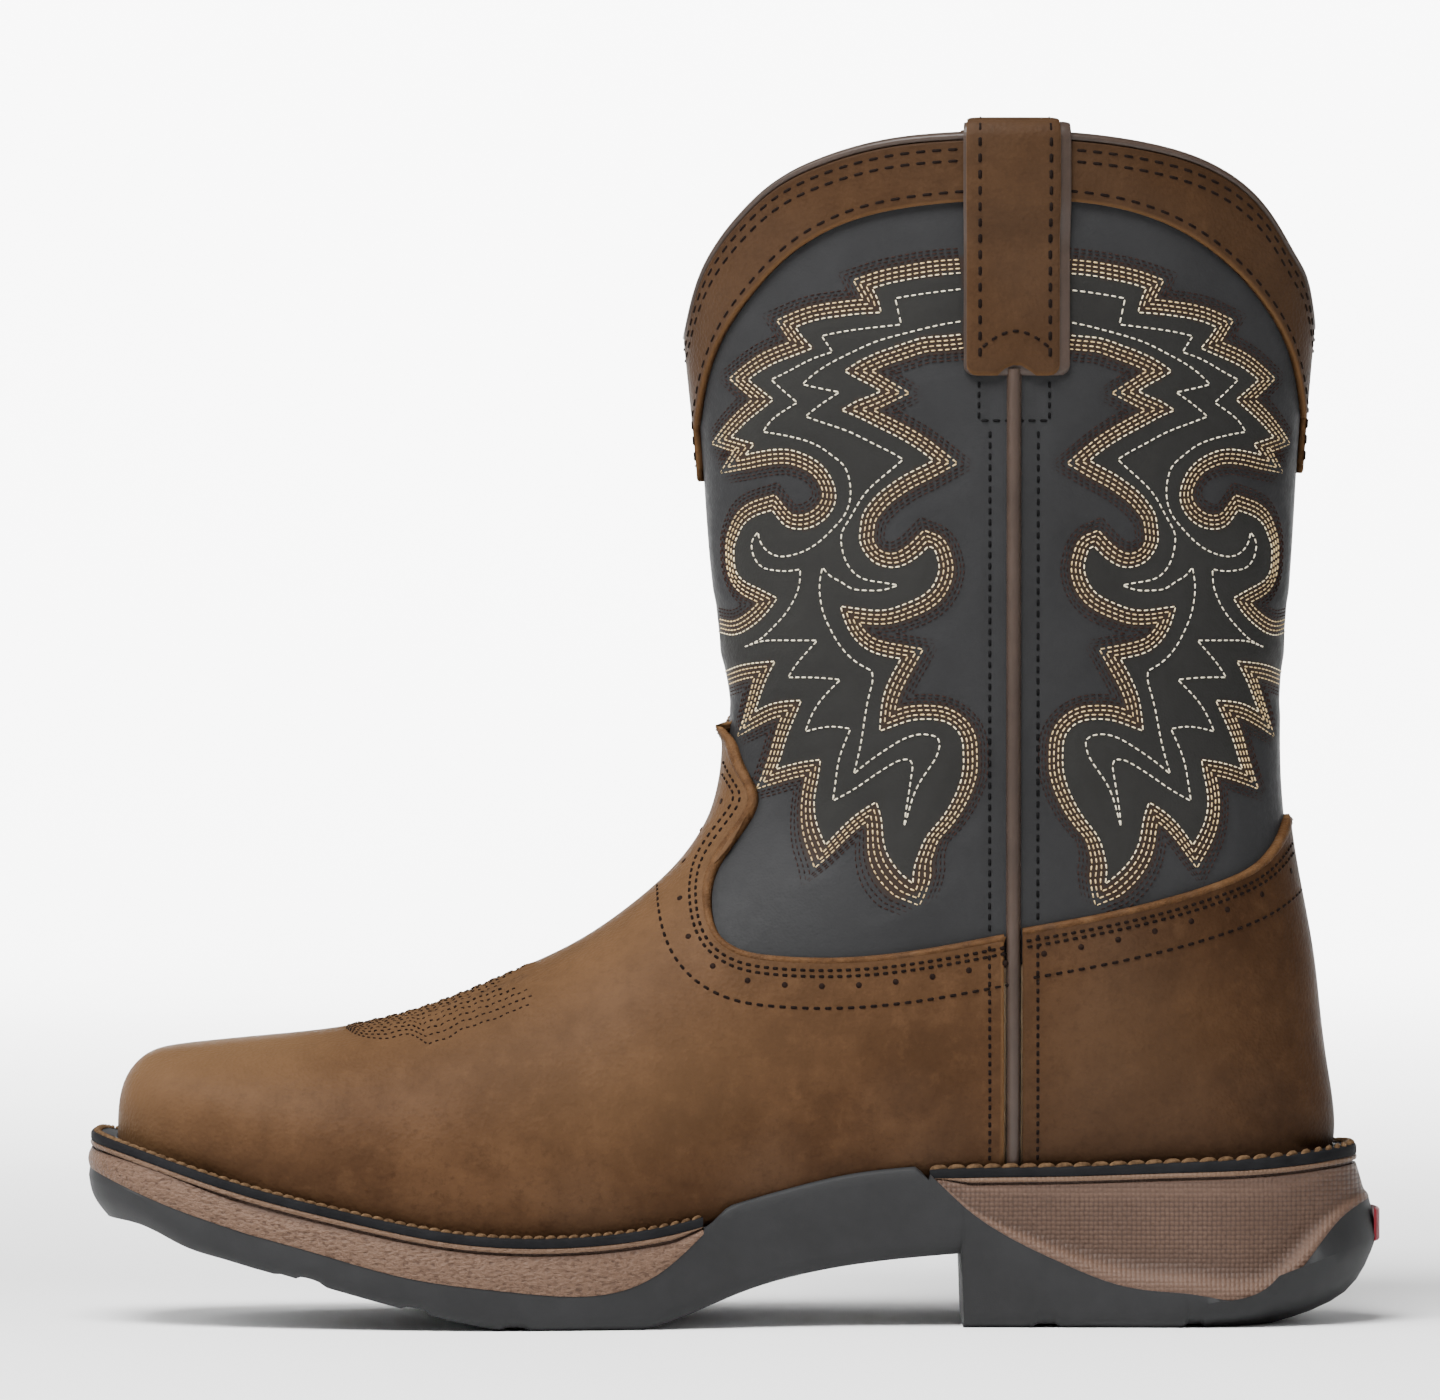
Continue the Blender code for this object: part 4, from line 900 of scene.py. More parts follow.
seamRowLook = dict(
    front=-5.6, rear=5.7, top=211.0, pitch=2.6, width=0.95, height=0.4,
    box=(57.6, 74.1, 213.0, 222.6), boxWidth=0.8,  # stitches round the foot of the strap
)
strapLook = dict(
    footZ=223.6, innerFootZ=236.0, topZ=284.0,
    leafShift=-0.3, leafHalf=10.7, backShift=0.6, backHalf=12.35,
    backThick=0.85, leafThick=0.95,
    notchHalf=3.4, notchRise=2.5, notchShift=0.4, corner=2.4,
    footRun=9.0,  # length over which the foot's outline fades out
    standOff=2.6,  # from the shaft, over the collar
    columns=19, sideRound=0.42, endRound=0.35, cut=0.8, wearAndHighlight=0.12,
)
shaftLook = dict(
    rows=176,
    innerRows=18,
    topGap=0.4,  # under the bead
    puff=0.32,  # how far the leather stands up between the rows of stitches
    press=1.1,  # how far it is pressed in under vamp and counter
    thickness=1.0,
    colour=((0.0142, 0.0142, 0.0146), (0.0182, 0.0183, 0.0189)),
    flameColour=((0.0124, 0.0121, 0.0113), (0.0152, 0.0149, 0.0139)),
    flameFade=0.6,
    borderColour=(0.0200, 0.0120, 0.0082),  # between the rows of light thread
    borderShare=0.85,
    borderWidth=4.3,
    borderFade=0.8,
    roughness=0.5,
)
# Soft folds: place round the shaft, height, reach round, reach up, depth
shaftFolds = (
    (-0.06, 168.0, 0.05, 9.0, 0.5),
    (0.06, 168.0, 0.05, 9.0, 0.5),
    (-0.93, 150.0, 0.06, 10.0, 0.5),
    (0.93, 150.0, 0.06, 10.0, 0.5),
    (-0.3, 120.0, 0.12, 8.0, 0.35),
    (0.3, 120.0, 0.12, 8.0, 0.35),
)


def flameGaps(w, z):
    # whether places lie inside the flame, and how far they are from its edge and from its inner row
    flat = flameFlat(w, z)
    inside = insideOutline(flat, flameOutline)
    return inside, outlineGap(flat, flameOutline[::2]), outlineGap(flat, joined(innerRuns)[::2])


def shaftRelief(w, z, gaps=None):
    # the leather stands up between its rows of stitches and sinks along them, and has a few soft folds
    relief = np.zeros(np.broadcast(w, z).shape)
    for foldW, foldZ, reachW, reachZ, depth in shaftFolds:
        relief = relief - depth * np.exp(-(((w - foldW) / reachW) ** 2) - ((z - foldZ) / reachZ) ** 2)
    if gaps is None:
        return relief
    inside, gap, innerGap = gaps
    band = np.where(inside, np.minimum(gap, innerGap), np.maximum(gap - flame["darkRows"][-1], 0))
    fromSeam = (np.abs(w) - seamAround(z)) * girth(z, -1)
    toRow = np.minimum(np.abs(fromSeam - seamRowLook["front"]), np.abs(fromSeam - seamRowLook["rear"]))
    toRow = np.where(z < strapLook["footZ"], toRow, 9.0)
    return relief + shaftLook["puff"] * smoothStep(0.2, 5.0, band) * smoothStep(-1.0, 2.6, toRow)


def underLap(w, z):
    # the shaft leather is pressed in where vamp and counter lie over it
    x = shaftPoint(w, z)[..., 0]
    low = vampPath[np.argmin(vampPath[:, 1]):]
    edge = np.where(x < lastForm["seamX"], np.interp(x, low[:, 0], low[:, 1], left=0.0), counterTop(x))
    return shaftLook["press"] * smoothStep(1.0, 3.5, edge - z)


def shaftFinish():
    made, tree, shader, place = newFinish("charcoal leather", shaftLook["roughness"], 0.09)
    cloud = noiseAt(tree, place, 30.0, 5.0)
    fine = noiseAt(tree, place, 600.0, 3.0)
    plain = shades(tree, cloud, (0.35, shaftLook["colour"][0]), (0.65, shaftLook["colour"][1]))
    deep = shades(tree, cloud, (0.35, shaftLook["flameColour"][0]), (0.65, shaftLook["flameColour"][1]))
    colour = mixed(tree, markAt(tree, "ornament"), plain, deep)
    colour = mixed(tree, markAt(tree, "border"), colour, shaftLook["borderColour"])
    tree.links.new(colour, shader.inputs["Base Color"])
    tree.links.new(ramp(tree, fine, 0.3, 0.7, 0.52, 0.64), shader.inputs["Roughness"])
    grain = cellsAt(tree, place, 1500.0, "SMOOTH_F1", 0.5)
    bumped(tree, shader, (grain, 0.16, 0.0003), (fine, 0.18, 0.0003))
    return made


def makeShaft():
    rise = np.linspace(0, 1, shaftLook["rows"])[:, None]
    z = shaftFoot + (shaftRim - shaftLook["topGap"] - shaftFoot) * rise
    w = shaftW + 0 * z
    gaps = flameGaps(w, z)
    outer = shaftSpot(w, z, shaftRelief(w, z, gaps) - underLap(w, z))[0]
    few = np.linspace(0, shaftLook["rows"] - 1, shaftLook["innerRows"]).astype(int)
    inner = shaftSpot(w[few], z[few], -shaftLook["thickness"])[0]
    inside, gap, _ = gaps
    mark = np.where(inside, 1.0, np.clip(1 - gap / shaftLook["flameFade"], 0, 1))
    fade = np.clip((shaftLook["borderWidth"] - gap) / shaftLook["borderFade"], 0, 1)
    border = np.where(inside, 0.0, shaftLook["borderShare"] * fade)
    addSheet("shaft", outer, inner, shaftFinish(), closed=True,
             marks={"ornament": mark, "border": border})


liningLook = dict(
    columns=136, rows=84,
    depth=1.05,  # under the outside of the last
    thickness=0.9,
    dark=(0.30, 0.21, 0.13), light=(0.42, 0.31, 0.20),
)


def makeLining():
    made = plainFinish("lining", 0.85, 0.2, (40.0, 4.0), liningLook["dark"], liningLook["light"],
                       (900.0, 2.0, 0.4, 0.0003))
    around = np.linspace(-1, 1, liningLook["columns"])

    def under(station):
        points = surface(station, around)
        return points[..., 2] < rimLine(points[..., 0])

    top = lastUnder(np.full_like(around, knots[24]), np.full_like(around, knots[-1]), under)
    share = np.linspace(0, 1, liningLook["rows"])[:, None] ** 0.8
    grid = surface(top * share, around + 0 * share)
    normal = gridNormals(grid)
    outer = grid - normal * liningLook["depth"]
    addSheet("lining", outer, outer - normal * liningLook["thickness"], made, ("upper",))


# Brown leather
brownLook = dict(
    dark=(0.0255, 0.0114, 0.0047),
    middle=(0.0435, 0.0206, 0.0090),
    light=(0.0680, 0.0342, 0.0158),
    wearAndHighlight=(0.1050, 0.0590, 0.0285),
    # the colour of the painted shade
    deep=(0.0160, 0.0074, 0.0034),
    cutEdge=(0.1150, 0.0600, 0.0255),
    cloud=22.0,
    speck=0.6,
    bloom=(0.045, 0.0290, 0.0195),  # greyer patches
    bloomShare=0.55,
    roughness=0.6,
    specular=0.05,
    grainScale=1000.0,
    grain=0.34,
)
brownLeather = leatherFinish("brown leather", brownLook)
collarBrown = dict(
    brownLook,
    dark=(0.0205, 0.0096, 0.0043),
    middle=(0.0290, 0.0139, 0.0063),
    light=(0.0395, 0.0198, 0.0092),
    wearAndHighlight=(0.0600, 0.0330, 0.0150),
    cutEdge=(0.0850, 0.0430, 0.0175),
)
collarLeather = leatherFinish("dark brown leather", collarBrown)
overlay = dict(low=0.3, high=2.0, bevel=0.45, bevelWidth=0.9)

vampLook = dict(
    columns=99, rows=170,
    curl=3.4, curlFrom=136.0, curlTo=145.0,  # the tip of the tongue stands off the shaft
)
vampStations = np.linspace(0, knots[20], 330)
vampShares = 181  # points of each section, evenly spaced by length


def unrollVamp(side):
    # each section of the last from its front end (0) to its feather edge (1), by length
    ease = np.linspace(0, 1, 160)
    upper = ease**2.2 / (ease**2.2 + (1 - ease) ** 2.2)
    table = []
    turns = []
    for station, split in zip(vampStations, sectionSplit(vampStations, side)):
        turn = np.concatenate([upper * split, split + (1 - split) * ease[1:] ** 2])
        line = surface(np.full_like(turn, station), side * turn)
        along = pathLength(line)
        even = np.linspace(0, along[-1], vampShares)
        table.append(pathAt(line, along, even))
        turns.append(np.interp(even, along, turn))
    return np.array(table), np.array(turns)


vampGrids = {side: unrollVamp(side) for side in (-1, 1)}


def vampPoint(station, share, side):
    # place on the last by station and share of the section's length
    i, a = tableStep(station / vampStations[-1] * (len(vampStations) - 1), len(vampStations))
    j, b = tableStep(share * (vampShares - 1), vampShares)
    a, b = a[..., None], b[..., None]
    table = vampGrids[side][0]
    low = table[i, j] * (1 - b) + table[i, j + 1] * b
    return low * (1 - a) + (table[i + 1, j] * (1 - b) + table[i + 1, j + 1] * b) * a


def vampShare(x, z, side):
    # station and share at a side-view place
    station, turn = aroundAt(x, z, side)
    i, a = tableStep(station / vampStations[-1] * (len(vampStations) - 1), len(vampStations))
    a = a[:, None]
    turns = vampGrids[side][1]
    return station, shareIn(turns[i] * (1 - a) + turns[i + 1] * a, turn)


def edgeRise(rows, *shares):
    # even rows up a piece, and closer ones over the last stretch to its cut edge
    return np.concatenate([np.linspace(0, 0.985, rows), 1 - 0.015 * np.array(shares)])


def cutMark(toEdge):
    return np.clip(1 - toEdge / overlay["bevelWidth"], 0, 1)


def overlayOffset(cut):
    return overlay["high"] - overlay["bevel"] * cut**2


def vampCurl(points):
    return vampLook["curl"] * smoothStep(vampLook["curlFrom"], vampLook["curlTo"], points[..., 2])


# Toe stitch on the ridge of the vamp: its lower edge as seen from the side, in chart units
toeStitch = dict(
    lowerEdge="""
        347,1031 357,1035 375,1038 395,1037 405,1034 415,1034 424,1038 431,1042c 441,1038 450,1036
        458,1031 464,1027 472,1025 479,1023c 488,1019 500,1016 507,1012c 518,1008 527,1004 539,1001""",
    rows=(1.0, 0.89, 0.78, 0.67, 0.56, 0.45, 0.34, 0.23, 0.12),  # shares of the way out from the ridge
    least=0.9,  # rows closer than this run into one
    pitch=1.7,
    width=0.62,
    height=0.3,
    wrinkle=0.34,  # height of the raised wrinkles between the rows
    wrinklePitch=4.3,
)
toeRuns = chartPaths(toeStitch["lowerEdge"])


def toeEdge(side):
    # station and share along the lower edge of the toe stitch
    edge = joined(toeRuns)
    return vampShare(edge[:, 0], edge[:, 1] - overlay["high"], side)


def toeWrinkles(station, share, side):
    edgeStation, edgeShare = toeEdge(side)
    order = np.argsort(edgeStation)
    reach = np.interp(station, edgeStation[order], edgeShare[order], left=0.0, right=0.0)
    ridge = vampPoint(vampStations, np.zeros_like(vampStations), side)
    along = np.interp(station, vampStations, pathLength(ridge))
    inside = smoothStep(0.0, 0.09, reach - share)
    return toeStitch["wrinkle"] * inside * np.sin(2 * math.pi * along / toeStitch["wrinklePitch"])


def makeToeRows():
    made = []
    for side in (-1, 1):
        station, share = toeEdge(side)
        for part in toeStitch["rows"]:
            spot = vampPoint(station, share * part, side)
            ahead = vampPoint(station + 0.02 * vampStations[1], share * part, side)
            aside = vampPoint(station, share * part + 0.01, side)
            normal = unit(np.cross(aside - spot, ahead - spot))
            normal = normal * np.sign(normal[:, 2:3])
            room = np.linalg.norm(spot - vampPoint(station, share * (part - 0.11), side), axis=-1)
            across = (station - station[0]) / (station[-1] - station[0])
            keep = (room > toeStitch["least"]) & (across < 0.9 + 0.1 * math.cos(7.0 * part))
            if keep.sum() > 4:
                spot, normal = spot[keep], normal[keep]
                made.append(rowOn("vamp", spot, normal, toeStitch["pitch"], toeStitch["width"],
                                  toeStitch["height"], 0.34))
    return made


def makeVamp():
    seamEnd = vampPath[-1]
    low = float(featherZ(seamEnd[0]))
    seam = np.column_stack([np.full(60, seamEnd[0]), np.linspace(seamEnd[1], low, 61)[1:]])
    path = np.vstack([vampPath, seam])
    along = pathLength(path)
    steps = np.linspace(0, along[-1], vampLook["columns"])  # columns end evenly along the vamp's edge
    rise = edgeRise(vampLook["rows"], 0.75, 0.5, 0.3, 0.14, 0.0)
    halves, raised, around = [], [], []
    for side in (-1, 1):
        station, share = vampShare(path[:, 0], path[:, 1], side)
        share = np.maximum.accumulate(share)
        share[-1] = 1.0
        half = np.interp(steps, along, share)
        stations = rise[:, None] * np.interp(steps, along, station)
        halves.append(vampPoint(stations, half + 0 * stations, side))
        raised.append(toeWrinkles(stations, half + 0 * stations, side))
        around.append(half)
    around = np.concatenate([-around[0][::-1], around[1][1:]])
    grid = np.concatenate([halves[0][:, ::-1], halves[1][:, 1:]], axis=1)
    for _ in range(4):
        grid[1:-6, 1:-1] = (grid[1:-6, :-2] + 2 * grid[1:-6, 1:-1] + grid[1:-6, 2:]) / 4
    normal = gridNormals(grid)
    cut = cutMark(np.linalg.norm(grid[-1:] - grid, axis=-1))
    wrinkles = np.concatenate([raised[0][:, ::-1], raised[1][:, 1:]], axis=1)
    outer = grid + normal * (overlayOffset(cut) + vampCurl(grid) + wrinkles)[..., None]
    inner = grid + normal * (overlay["low"] + vampCurl(grid))[..., None]
    x, z = grid[..., 0], grid[..., 2]
    height = z - featherZ(x)
    # painted highlight along the top of the vamp, strongest over the toe where the light falls, and a
    # lighter patch on its side
    ridge = np.exp(-((around / 0.5) ** 2))
    wearAndHighlight = (0.42 + 0.5 * smoothStep(-85.0, -115.0, x)) * ridge
    wearAndHighlight = wearAndHighlight + 0.25 * np.exp(-(((x + 20) / 40) ** 2) - ((height - 34) / 16) ** 2)
    # painted shade towards the welt, where the upper turns under
    paintedShade = 0.55 * np.exp(-height / 5.0)
    addSheet("vamp", outer, inner, brownLeather, ("vamp",),
             marks={"cut": cut, "wearAndHighlight": wearAndHighlight, "paintedShade": paintedShade})


counterLook = dict(columns=93, rows=76)
counterTop = tableSpline(counterTable, 1)


def makeCounter():
    rise = edgeRise(counterLook["rows"], 0.7, 0.4, 0.15, 0.0)
    startX = counterTable[0][0]
    tipX, tipZ = counterTable[-1]

    def rowHeight(x, share):
        top = np.minimum(counterTop(np.minimum(x, tipX)), tipZ)
        return featherZ(x) + share * (top - featherZ(x))

    def inside(x):
        return x < backOutline(rowHeight(x, rise))

    endX = lastUnder(np.full_like(rise, 120.0), np.full_like(rise, 142.0), inside, 40)
    share = np.sin(np.linspace(0, math.pi / 2, 240))
    halves = []
    for side in (-1, 1):
        x = startX + (endX[:, None] - startX) * share
        z = rowHeight(x, rise[:, None])
        y = side * sideHalf(x, z, side)
        y[:, -1] = 0
        rows = []
        for line in np.stack([x, y, z], axis=-1):
            along = pathLength(line)
            rows.append(pathAt(line, along, np.linspace(0, along[-1], counterLook["columns"])))
        halves.append(np.array(rows))
    grid = np.concatenate([halves[0], halves[1][:, -2::-1]], axis=1)
    for _ in range(6):
        grid[:, 1:-1] = (grid[:, :-2] + 2 * grid[:, 1:-1] + grid[:, 2:]) / 4
    normal = gridNormals(grid)
    cut = cutMark(np.linalg.norm(grid[-1:] - grid, axis=-1))
    outer = grid + normal * overlayOffset(cut)[..., None]
    inner = grid + normal * overlay["low"]
    height = grid[..., 2] - featherZ(grid[..., 0])
    # a lighter patch on the side of the counter
    wearAndHighlight = 0.2 * np.exp(-(((grid[..., 0] - 95) / 30) ** 2) - ((height - 32) / 20) ** 2)
    # the counter is darkened evenly all over, with painted shade added towards the welt
    addSheet("counter", outer, inner, brownLeather, ("counter",),
             marks={"cut": cut, "wearAndHighlight": wearAndHighlight, "paintedShade": 0.28 + 0.45 * np.exp(-height / 7.0)})


edgeLook = dict(halfWidth=0.95, low=0.3, high=2.25)
rawLook = dict(
    brownLook,
    dark=(0.0340, 0.0160, 0.0068),
    middle=(0.0620, 0.0300, 0.0125),
    light=(0.0900, 0.0470, 0.0210),
    cloud=260.0,
    grainScale=1700.0,
    grain=0.5,
)
rawLeather = leatherFinish("raw leather edge", rawLook)


def makeRawEdge(name, path):
    # the rough cut edge of a piece of leather, as a low rounded strip along a side-view path
    lead = unit(np.gradient(path, axis=0))
    aside = np.column_stack([lead[:, 1], -lead[:, 0]])
    for side, word in sideWords.items():
        rings = []
        for turn in np.linspace(0, math.pi, 8):
            flat = path + aside * edgeLook["halfWidth"] * (0.75 - math.cos(turn))
            lift = edgeLook["low"] + (edgeLook["high"] - edgeLook["low"]) * math.sin(turn) ** 0.6
            spot, normal = sideSpot(flat[:, 0], flat[:, 1], side, lift)
            rings.append(spot + normal * vampCurl(spot)[:, None])
        addLoft(name + "_" + word, np.stack(rings, axis=1), rawLeather, sharp=None)


collarLook = dict(rows=30, innerRows=9, hem=0.03)


def makeCollar():
    foot = np.interp(np.abs(shaftW), collarW, collarZ)
    hem = collarLook["hem"]
    rise = np.append(hem * np.array([0.0, 0.18, 0.4, 0.7]), np.linspace(hem, 1, collarLook["rows"]))[:, None]
    z = foot + (shaftRim - foot) * rise
    w = shaftW + 0 * z
    cut = cutMark(z - foot)
    outer = shaftSpot(w, z, overlayOffset(cut))[0]
    few = np.linspace(0, len(rise) - 1, collarLook["innerRows"]).astype(int)
    inner = shaftSpot(w[few], z[few], overlay["low"])[0]
    # painted shade just under the bead along the top of the collar; the whole collar is a little lighter
    addSheet("collar", outer, inner, collarLeather, ("collar",), closed=True,
             marks={"cut": cut, "wearAndHighlight": 0.15 + 0 * z, "paintedShade": 0.45 * np.exp(-(shaftRim - z) / 2.0)})


# Taupe leather of bead, piping and strap backing
taupeLook = dict(
    dark=(0.0225, 0.0140, 0.0100),
    middle=(0.0310, 0.0196, 0.0142),
    light=(0.0400, 0.0262, 0.0195),
    wearAndHighlight=(0.055, 0.041, 0.033),
    # the colour of the painted shade
    deep=(0.016, 0.011, 0.0085),
    cutEdge=(0.040, 0.028, 0.022),
    cloud=60.0,
    speck=0.25,
    bloom=(0.060, 0.040, 0.030),
    bloomShare=0.3,
    roughness=0.4,
    specular=0.25,
    grainScale=1600.0,
    grain=0.12,
)
taupeLeather = leatherFinish("taupe leather", taupeLook)
beadLook = dict(halfWidth=2.15, halfHeight=1.2, rise=1.0, sides=14)


def makeBead():
    spot, normal = shaftSpot(shaftW, shaftRim)
    lead = unit(np.roll(spot, -1, axis=0) - np.roll(spot, 1, axis=0))
    up = unit(np.cross(lead, normal))
    up = up * np.sign(up[:, 2:3])
    rings = []
    for turn in np.arange(beadLook["sides"]) * 2 * math.pi / beadLook["sides"]:
        rings.append(spot + normal * beadLook["halfWidth"] * math.cos(turn)
                     + up * (beadLook["rise"] + beadLook["halfHeight"] * math.sin(turn)))
    addLoft("topline_bead", np.stack(rings, axis=1), taupeLeather, ("topline_bead",),
            closed=True, sharp=None)


pipingLook = dict(halfWidth=1.75, low=0.1, high=2.7, steps=130, sides=11)


def makePiping(name, side):
    z = np.linspace(strapLook["footZ"] + 1.6, float(weltLine(lastForm["seamX"])) - 0.6, pipingLook["steps"])
    rings = []
    for turn in np.linspace(0, math.pi, pipingLook["sides"]):
        x = lastForm["seamX"] - pipingLook["halfWidth"] * math.cos(turn)
        lift = pipingLook["low"] + (pipingLook["high"] - pipingLook["low"]) * math.sin(turn)
        rings.append(sideSpot(x, z, side, lift)[0])
    addLoft("side_piping_" + name, np.stack(rings, axis=1), taupeLeather,
            ("side_piping_" + name,), sharp=60.0)


def strapLine():
    # offset from the shaft and height along the strap's inner face, up, over the rim and down inside
    over = strapLook["standOff"]
    inside = -over
    collarHeight = float(tableSpline(collarTable, 1)(lastForm["seamX"]))
    rim = float(rimLine(lastForm["seamX"]))
    outer = [
        (0.6, strapLook["footZ"]), (0.6, strapLook["footZ"] + 8), (0.6, collarHeight - 14),
        (0.7, collarHeight - 9), (1.6, collarHeight - 5), (2.5, collarHeight - 1), (over, collarHeight + 4),
        (over, rim - 2),
    ]
    legs = smoothPath(outer, 1.2)
    thick = strapLook["backThick"] + strapLook["leafThick"]
    crown = strapLook["topZ"] - thick - rim
    turns = np.linspace(0, math.pi, 19)
    across = (over + inside) / 2 + (over - inside) / 2 * np.cos(turns)
    bend = np.column_stack([across, rim + crown * np.sin(turns)])
    down = np.column_stack([np.full(20, inside), np.linspace(rim, strapLook["innerFootZ"], 21)[1:]])
    return np.vstack([legs, bend, down])


def strapSpot(side, x, line, lift):
    # places on the strap: across, along the line's points, and how far off its inner face
    lead = unit(np.gradient(line, axis=0))
    moved = line + np.column_stack([lead[:, 1], -lead[:, 0]]) * np.asarray(lift)[..., None]
    return sideSpot(x, moved[:, 1], side, moved[:, 0])[0]


def makeStrapLayer(name, side, shift, half, low, high, notch, finish, slot, nodes):
    line = strapLine()
    along = pathLength(line)
    columns = strapLook["columns"]
    share = np.sin(np.linspace(-math.pi / 2, math.pi / 2, columns))
    under = []
    over = []
    for place in share:
        x = lastForm["seamX"] + shift + half * place
        fromPiping = (x - lastForm["seamX"] - strapLook["notchShift"]) / strapLook["notchHalf"]
        rise = notch * math.sqrt(max(0.0, 1 - fromPiping**2))
        corner = max(0.0, 1 - half * (1 - abs(place)) / strapLook["corner"])
        rise += strapLook["corner"] * (1 - math.sqrt(1 - corner**2))
        at = along + rise * np.clip(1 - along / strapLook["footRun"], 0, 1)
        path = pathAt(line, along, at)
        roundOff = strapLook["sideRound"] * (high - low) * abs(place) ** 14
        under.append(strapSpot(side, x, path, low + roundOff))
        lift = np.full(len(line), high - roundOff)
        lift[[0, -1]] = high - strapLook["endRound"] * (high - low)
        over.append(strapSpot(side, x, path, lift))
    rings = np.concatenate([np.stack(under, axis=1), np.stack(over, axis=1)[:, ::-1]], axis=1)
    marks = None
    if slot == "strap_leather":
        cut = np.zeros(rings.shape[:2])
        cut[:, [0, columns - 1, columns, 2 * columns - 1]] = strapLook["cut"]
        cut[[0, -1]] = strapLook["cut"]
        marks = {"cut": cut, "wearAndHighlight": np.full(cut.shape, strapLook["wearAndHighlight"]), "paintedShade": np.zeros(cut.shape)}
    addLoft(name, rings, finish, nodes, sharp=None, marks=marks)


# Sole
soleForm = dict(
    gap=0.3,
    seat=0.05,  # the black rubber ends this far under the brown layers
    flank=(-105.0, 44.0),  # where the tread follows the edge's own place
    heelward=(60.0, 110.0),
    heelBreastX=53.6,
    midsoleEnd=-8.0,
    insertStart=46.0,
    grooveX=(-99.0, -74.0, -51.0, 73.6, 109.0),
    grooveWidth=6.6,
    grooveDepth=0.9,
    treadLean=0.3,
    rubberFull=8.0,  # rubber depth at which its rounded edge has its full size
    toeBevelX=-118.0,
    heelEase=0.8,
    topInsetBack=2.0,
    wingRise=3.3,  # the shank's edge stands up against the upper
    wingFront=(-7.6, -1.0),
    wingBack=(46.0, 42.5),
)
treadTable = (
    (-152.5, 25.5), (-142.3, 23.9), (-132.0, 19.6), (-118.2, 16.2), (-102.2, 12.1), (-84.0, 7.0),
    (-66.0, 2.5), (-52.0, -0.3), (-34.0, -1.2), (-20.0, 0.2), (-10.0, 3.6), (3.3, 9.0), (14.4, 12.2),
    (27.0, 14.6), (53.0, 17.4),
)
midsoleBaseTable = (
    (-152.5, 37.4), (-140.4, 31.3), (-124.1, 25.7), (-111.0, 22.4), (-97.2, 18.6), (-75.5, 12.5),
    (-53.8, 9.4), (-38.0, 8.1), (-26.7, 9.5), (-16.5, 14.7), (-8.0, 22.4),
)
insertBaseTable = (
    (46.0, 36.0), (49.0, 33.2), (53.0, 29.4), (61.4, 23.2), (75.8, 15.9), (92.5, 9.7), (109.0, 7.9),
    (122.5, 6.2), (132.6, 9.2), (140.4, 18.2), (146.0, 25.2), (152.9, 29.4),
)
soleReachTable = (
    # x, at the welt, at the tread
    (-143.6, 8.4, 8.9), (-112.0, 8.0, 8.4), (-60.0, 7.6, 8.2), (-24.0, 6.8, 7.4), (0.0, 4.6, 5.6),
    (25.0, 4.2, 5.2), (48.0, 5.6, 6.2), (80.0, 7.0, 7.8), (110.0, 8.0, 9.6), (138.4, 9.6, 14.5),
)
# Outsole wall from the tread up: inset and rise, each at toe, side and heel back
outsoleWall = (
    (4.5, 2.4, 24.0, 0.0, 0.0, 0.0),
    (1.2, 0.7, 7.5, 4.6, 1.4, 7.0),
    (0.0, 0.0, 0.0, 9.6, 3.6, 20.5),
)
treadLine = tableSpline(treadTable, 1)
midsoleBase = tableSpline(midsoleBaseTable, 1)
insertBase = tableSpline(insertBaseTable, 1)


def footprint():
    # paired points of the feather edge, toe to heel, with plan normals and their place along the sole
    toe = sections[0][2]
    ovalX = lastForm["heelOvalX"]
    steps = np.linspace(0.02, 0.97, 30)
    along = set(np.round(np.arange(toe, 150.0, 1.5), 3)) | {150.5, 151.3, 152.0, 152.5, 152.8, 152.88}
    along |= {soleForm["midsoleEnd"], soleForm["midsoleEnd"] + 0.3}
    along |= {soleForm["insertStart"] - 0.3, soleForm["insertStart"]}
    along |= {soleForm["heelBreastX"] - 0.3, soleForm["heelBreastX"] + 0.3}
    for centre in soleForm["grooveX"]:
        along |= {round(centre + soleForm["grooveWidth"] * share, 3) for share in (-0.5, -0.3, 0.3, 0.5)}
    along = np.array(sorted(along))
    stretch = (insertBaseTable[-1][0] - ovalX) / (sections[lastForm["heelRow"]][2] - ovalX)
    sides = {}
    for side in (-1, 1):
        toePoints = surface(np.zeros(len(steps)), side * steps)[:, :2]
        baseX = np.where(along > ovalX, ovalX + (along - ovalX) / stretch, along)
        sides[side] = np.vstack([toePoints, np.column_stack([baseX, side * featherHalf(baseX, side)])])
    spread = (toe - treadTable[0][0]) / (toe - sections[0][0])
    places = np.concatenate([toe - (toe - sides[-1][: len(steps), 0]) * spread, along])
    normals = {}
    for side in (-1, 1):
        path = np.vstack([sides[-side][0], sides[side], sides[-side][-1]])
        lead = unit(path[2:] - path[:-2])
        flank = slice(len(steps) + 4, -24)
        for _ in range(30):
            lead[1:-1][flank] = (lead[:-2][flank] + 2 * lead[1:-1][flank] + lead[2:][flank]) / 4
        lead = unit(lead)
        normals[side] = np.column_stack([lead[:, 1], -lead[:, 0]]) * -side
    return sides, normals, places


